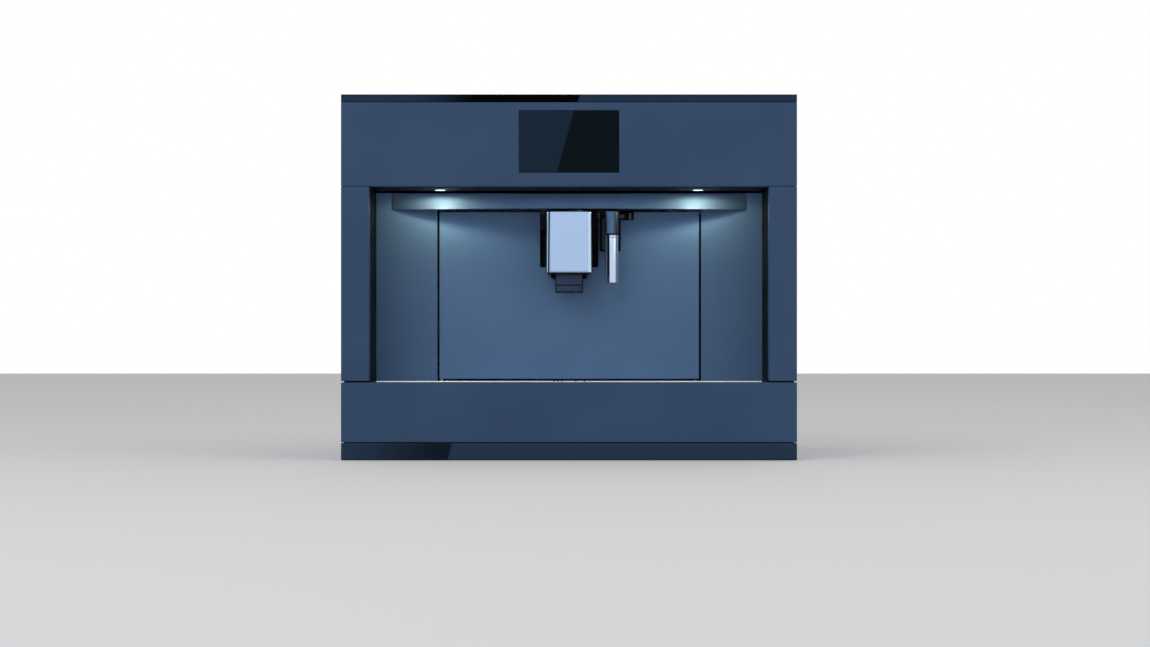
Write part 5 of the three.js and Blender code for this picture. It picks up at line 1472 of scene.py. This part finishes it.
@dataclass
class Fasteners:
    """Pan-head screws with a cross recess, which hold the sheet-metal body and the guides.

    The head's shape is in shares of its radius and height, and so are the levels of its recess.
    """

    head: float = 3.4 * MM
    height: float = 1.7 * MM
    recess: float = 1.5 * MM
    head_shape: Profile = ((1, 0), (1, 0.2), (0.93, 0.55), (0.72, 0.85), (0.5, 0.97))
    recess_levels: tuple[float, ...] = (1, 0.35, 0.3)
    lobe: float = 0.38
    sides: int = 32
    cover_insets: tuple[float, float] = (9 * MM, 9 * MM)
    rear_counts: tuple[int, int] = (4, 2)
    top_counts: tuple[int, int] = (3, 2)
    guide_insets: tuple[float, float] = (60 * MM, 25 * MM)
    guide_counts: tuple[int, int] = (3, 2)

    def screw(self, place: Place, axis: str, sign: int) -> np.ndarray:
        """Rings of one screw head, whose recess has radius r (1 - lobe + lobe cos 4a) round the circle.

        Args:
            place: the middle of its seat.
            axis: the axis that it stands along.
            sign: 1 where it points up that axis, -1 where it points down it.

        Returns:
            The (m, sides, 3) rings.
        """
        number = "xyz".index(axis)
        centre = tuple(value for k, value in enumerate(place) if k != number)
        shape = np.array(self.head_shape) * [self.head, self.height]
        reach = [self.recess, self.recess, TIGHTEST]
        cross = np.stack([reach, np.array(self.recess_levels) * self.height], axis=1)
        levels = np.concatenate([shape, cross]) * [1, sign] + [0, place[number]]
        rings = turned(centre, levels, axis, self.sides)
        angle = np.linspace(0, 2 * math.pi, self.sides, endpoint=False)
        lobes = 1 - self.lobe + self.lobe * np.cos(4 * angle)
        inside = rings[-len(cross):]
        middle = inside.mean(axis=1, keepdims=True)
        inside[:] = middle + (inside - middle) * lobes[None, :, None]
        return rings

    def grid(
        self, node: str, axis: str, side: int, insets: tuple[float, float], counts: tuple[int, int]
    ) -> list[np.ndarray]:
        """Screws on a grid over one face of a node's box.

        Args:
            node: the node that they sit on.
            axis: the axis that the face looks along.
            side: 1 for the face on the axis's far side, 0 for the near one.
            insets: how far the grid stays inside the face on each of its two axes.
            counts: screws along each of the two axes.

        Returns:
            The stacks of rings.
        """
        low, high = box(node)
        number = "xyz".index(axis)
        one, two = (k for k in range(3) if k != number)
        screws = []
        for a in np.linspace(low[one] + insets[0], high[one] - insets[0], counts[0]):
            for b in np.linspace(low[two] + insets[1], high[two] - insets[1], counts[1]):
                place = np.empty(3)
                place[one], place[two], place[number] = a, b, (low, high)[side][number]
                screws.append(self.screw(tuple(place), axis, 1 if side else -1))
        return screws

    def build(self) -> None:
        """Builds the screws of the body and of the guides."""
        rear = self.grid("rear_cover", "y", 1, self.cover_insets, self.rear_counts)
        top = self.grid("top_cover", "z", 1, self.cover_insets, self.top_counts)
        fit(piece("cover_screws", *rear, *top), "machine", ZINC)
        for side, label in ((0, "left"), (1, "right")):
            bracket = self.grid(
                f"guide_bracket_{label}", "x", side, self.guide_insets, self.guide_counts
            )
            fit(piece(f"bracket_screws_{label}", *bracket), "niche_guides", ZINC)


@dataclass
class Chassis:
    """The sheet-metal body, the guides it runs on, and what stands in it.

    Rows of beads are shares of the sheet's height at the rear and the side, and lengths on the top.
    """

    guard_wire: float = 0.9 * MM
    guard_pitch: float = 8 * MM
    guard_rings: int = 4
    guard_lift: float = 1.98 * MM
    guard_sides: int = 64
    wire_sides: int = 12
    spokes: int = 4
    spoke_ends: tuple[float, float] = (2.4 * MM, 6 * MM)
    spoke_points: int = 5
    pad_height: float = 1.2 * MM
    pad_edge: float = 0.6 * MM
    pad_corner: float = 8 * MM
    pad_margin: float = 12 * MM
    bead_width: float = 12 * MM
    bead_height: float = 1 * MM
    bead_edge: float = 0.8 * MM
    bead_roundness: float = 1 / 2.2
    rear_ends: tuple[float, float] = (70 * MM, 70 * MM)
    rear_rows: tuple[float, ...] = (0.3, 0.42, 0.54)
    side_ends: tuple[float, float] = (40 * MM, 40 * MM)
    side_rows: tuple[float, ...] = (0.38, 0.56, 0.74)
    top_ends: tuple[float, float] = (50 * MM, 110 * MM)
    top_rows: tuple[float, ...] = (40 * MM, 65 * MM)

    def fan_guard(self) -> None:
        """Builds the wire guard behind the fan: rings of round wire on spokes."""
        low, high = box("fan_housing")
        rear = box("rear_cover")[1][1]
        centre = ((low[0] + high[0]) / 2, (low[2] + high[2]) / 2)
        angle = np.linspace(0, 2 * math.pi, self.wire_sides, endpoint=False)
        wire = self.guard_wire * np.stack([np.cos(angle), np.sin(angle)], axis=1)
        loops = []
        for number in range(1, self.guard_rings + 1):
            section = wire + [number * self.guard_pitch, rear + self.guard_lift]
            loops.append(turned(centre, section, "y", self.guard_sides))
        fit(piece("fan_guard_rings", *loops, ends=Skin.CLOSED), "machine", STEEL)
        spokes = []
        start, over = self.spoke_ends
        reach = np.linspace(start, self.guard_rings * self.guard_pitch + over, self.spoke_points)[:, None]
        middle = np.array([centre[0], rear + self.guard_wire, centre[1]])
        for turn in (np.arange(self.spokes) + 0.5) * 2 * math.pi / self.spokes:
            along = np.array([math.cos(turn), 0, math.sin(turn)])
            spokes.append(piped(middle + reach * along, self.guard_wire, self.wire_sides))
        fit(piece("fan_guard_spokes", *spokes), "machine", STEEL)

    def pad(self, name: str, node: str, body: str, finish: Finish) -> None:
        """Builds the raised, rounded grip panel on a lid.

        Args:
            name: the piece's name.
            node: the lid.
            body: its body.
            finish: its finish.
        """
        low, high = box(node)
        start = np.array([low[0] + self.pad_margin, low[1] + self.pad_margin, high[2]])
        end = np.array([high[0] - self.pad_margin, high[1] - 2 * self.pad_margin, high[2] + self.pad_height])
        fit(piece(name, plug(start, end, self.pad_edge, "xyz", self.pad_corner)), body, finish)

    def beads(
        self, name: str, node: str, axis: str, side: int, ends: tuple[float, float], rows: np.ndarray
    ) -> None:
        """Builds the stiffening beads pressed into a sheet: long rounded strips that stand a little proud.

        Args:
            name: the piece's name.
            node: the sheet.
            axis: the axis that the sheet's face looks along.
            side: 1 for the face on the axis's far side, 0 for the near one.
            ends: how far the beads stop short of the face's two ends, along the first of its axes.
            rows: how far up its second axis they lie.
        """
        low, high = box(node)
        number = "xyz".index(axis)
        one, two = (k for k in range(3) if k != number)
        face = (low, high)[side][number]
        strips = []
        for level in low[two] + rows:
            span = np.empty((2, 3))
            span[:, one] = low[one] + ends[0], high[one] - ends[1]
            span[:, two] = level - self.bead_width / 2, level + self.bead_width / 2
            span[:, number] = face - self.bead_height, face + self.bead_height
            axes = "xyz"[one] + "xyz"[two] + axis
            strips.append(plug(*span, self.bead_edge, axes, self.bead_width * self.bead_roundness))
        fit(piece(name, *strips), "machine", ZINC)

    def pressings(self) -> None:
        """Builds the beads of the rear cover, the left side panel and the top cover."""
        height = np.ptp(box("rear_cover")[:, 2])
        self.beads("rear_beads", "rear_cover", "y", 1, self.rear_ends, height * np.array(self.rear_rows))
        height = np.ptp(box("side_panel_left")[:, 2])
        self.beads("side_beads", "side_panel_left", "x", 0, self.side_ends, height * np.array(self.side_rows))
        self.beads("top_beads", "top_cover", "z", 1, self.top_ends, np.array(self.top_rows))

    def build(self) -> None:
        """Builds the finer pieces and dresses the body's solids."""
        self.fan_guard()
        self.pressings()
        self.pad("bean_lid_grip", "bean_lid", "bean_lid", BLACK)
        self.pad("tank_lid_grip", "tank_lid", "tank", GREY)
        dress(ZINC, "base_pan", "deck", "top_cover", "rear_cover", "brew_motor", "guide_tie_bar")
        dress(STEEL, "brew_spindle", "grinder_burr")
        for side in ("left", "right"):
            dress(ZINC, f"side_panel_{side}", f"guide_bracket_{side}")
            dress(ZINC, f"outer_slide_{side}", f"inner_slide_{side}")
            dress(STEEL, f"middle_slide_{side}")
        dress(ALUMINIUM, "boiler")
        dress(BLACK, "brew_chamber", "grinder", "bean_lid", "tank_dock", "fan_housing", "fan_rotor")
        dress(BLACK, "power_inlet", "power_switch")
        dress(GREY, "brew_frame", "pump", "tank_lid")
        dress(CLEAR, "bean_hopper", "water_tank")
        dress(SILICONE, "pump_pipe", "brew_hose")
        dress(BOARD, "control_board")


# ---------------------------------------------------------------- studio and camera


@dataclass
class Studio:
    """The pale floor, the soft lights and the camera."""

    floor_size: float = 14.0
    floor_colour: Colour = (232, 233, 235)
    floor_rough: float = 0.9
    floor_level: float = 0.1
    camera_place: Place = (0.00783, -3.239, 0.161)
    lens: float = 72.8
    sensor: float = 36.0
    shift: float = 0.0117
    world_level: float = 0.55
    lamp_size: float = 2.4
    aim: Place = (0, 0, 0.24)
    key_energy: float = 26.0
    key_place: Place = (-1.6, -2.6, 2.2)
    fill_energy: float = 14.0
    fill_place: Place = (2.2, -1.6, 1.8)

    def floor(self) -> None:
        """Builds the pale floor, level with the shelf that the machine stands on."""
        span = np.linspace(-self.floor_size / 2, self.floor_size / 2, 3)
        x, y = np.meshgrid(span, span)
        points = np.stack([x, y, np.zeros_like(x)], axis=-1).reshape(-1, 3)
        mesh = bpy.data.meshes.new("studio_floor")
        mesh.from_pydata(points.tolist(), [], [[0, 1, 4, 3], [1, 2, 5, 4], [3, 4, 7, 6], [4, 5, 8, 7]])
        made = bpy.data.objects.new("studio_floor", mesh)
        bpy.context.scene.collection.objects.link(made)
        paint = bpy.data.materials.new("pale_floor")
        paint.use_nodes = True
        shader = paint.node_tree.nodes["Principled BSDF"]
        shader.inputs["Base Color"].default_value = linear(self.floor_colour)
        shader.inputs["Roughness"].default_value = self.floor_rough
        shader.inputs["Specular IOR Level"].default_value = self.floor_level
        mesh.materials.append(paint)

    def world(self) -> None:
        """Sets a world that is white where it is seen, mirrored or looked through, and softer as a light."""
        world = bpy.data.worlds.new("studio_world")
        world.use_nodes = True
        graph = Graph(world.node_tree)
        path = graph.add("LightPath")
        seen = graph.math("MAXIMUM", path.outputs["Is Camera Ray"], path.outputs["Is Glossy Ray"])
        seen = graph.math("MAXIMUM", seen, path.outputs["Is Transmission Ray"])
        strength = graph.ramp(seen, 0, 1, self.world_level, 1.0)
        back = graph.add("Background", {"Color": (1, 1, 1, 1), "Strength": strength})
        out = graph.add("OutputWorld")
        graph.tree.links.new(back.outputs[0], out.inputs["Surface"])
        bpy.context.scene.world = world

    def lamp(self, name: str, energy: float, place: Place) -> None:
        """Hangs one soft lamp that points at the machine.

        Args:
            name: the lamp's name.
            energy: its power in watts.
            place: where it hangs.
        """
        light = bpy.data.lights.new(name, "AREA")
        light.energy, light.size = energy, self.lamp_size
        made = bpy.data.objects.new(name, light)
        made.location = place
        aim = np.array(self.aim) - np.array(place)
        flat = math.hypot(aim[0], aim[1])
        made.rotation_euler = (math.atan2(flat, -aim[2]), 0, math.atan2(aim[1], aim[0]) - math.pi / 2)
        bpy.context.scene.collection.objects.link(made)

    def camera(self) -> None:
        """Sets the camera at the photograph's place, level, looking straight in."""
        data = bpy.data.cameras.new("front_camera")
        data.lens, data.sensor_width, data.shift_y = self.lens, self.sensor, self.shift
        made = bpy.data.objects.new("front_camera", data)
        made.location = self.camera_place
        made.rotation_euler = (math.pi / 2, 0, 0)
        bpy.context.scene.collection.objects.link(made)
        bpy.context.scene.camera = made

    def build(self) -> None:
        """Builds the studio."""
        self.floor()
        self.world()
        self.lamp("key_light", self.key_energy, self.key_place)
        self.lamp("fill_light", self.fill_energy, self.fill_place)
        self.camera()
        bpy.context.scene.view_settings.view_transform = "Standard"


def corners(bounds: object) -> list:
    """Returns a pair of corners as plain lists of numbers."""
    return [[float(value) for value in corner] for corner in bounds]


def main() -> None:
    """Builds the machine and its studio."""
    logging.basicConfig(level=logging.INFO, format="%(message)s")
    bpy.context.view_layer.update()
    assemblies = (
        FrontPanels, CupRecess, ServiceDoor, CoffeeSpout, HotWaterWand, DripDrawer,
        Chassis, Fasteners, Studio,
    )
    for assembly in assemblies:
        LOG.info("building %s", assembly.__name__)
        assembly().build()


if __name__ == "__main__":
    main()
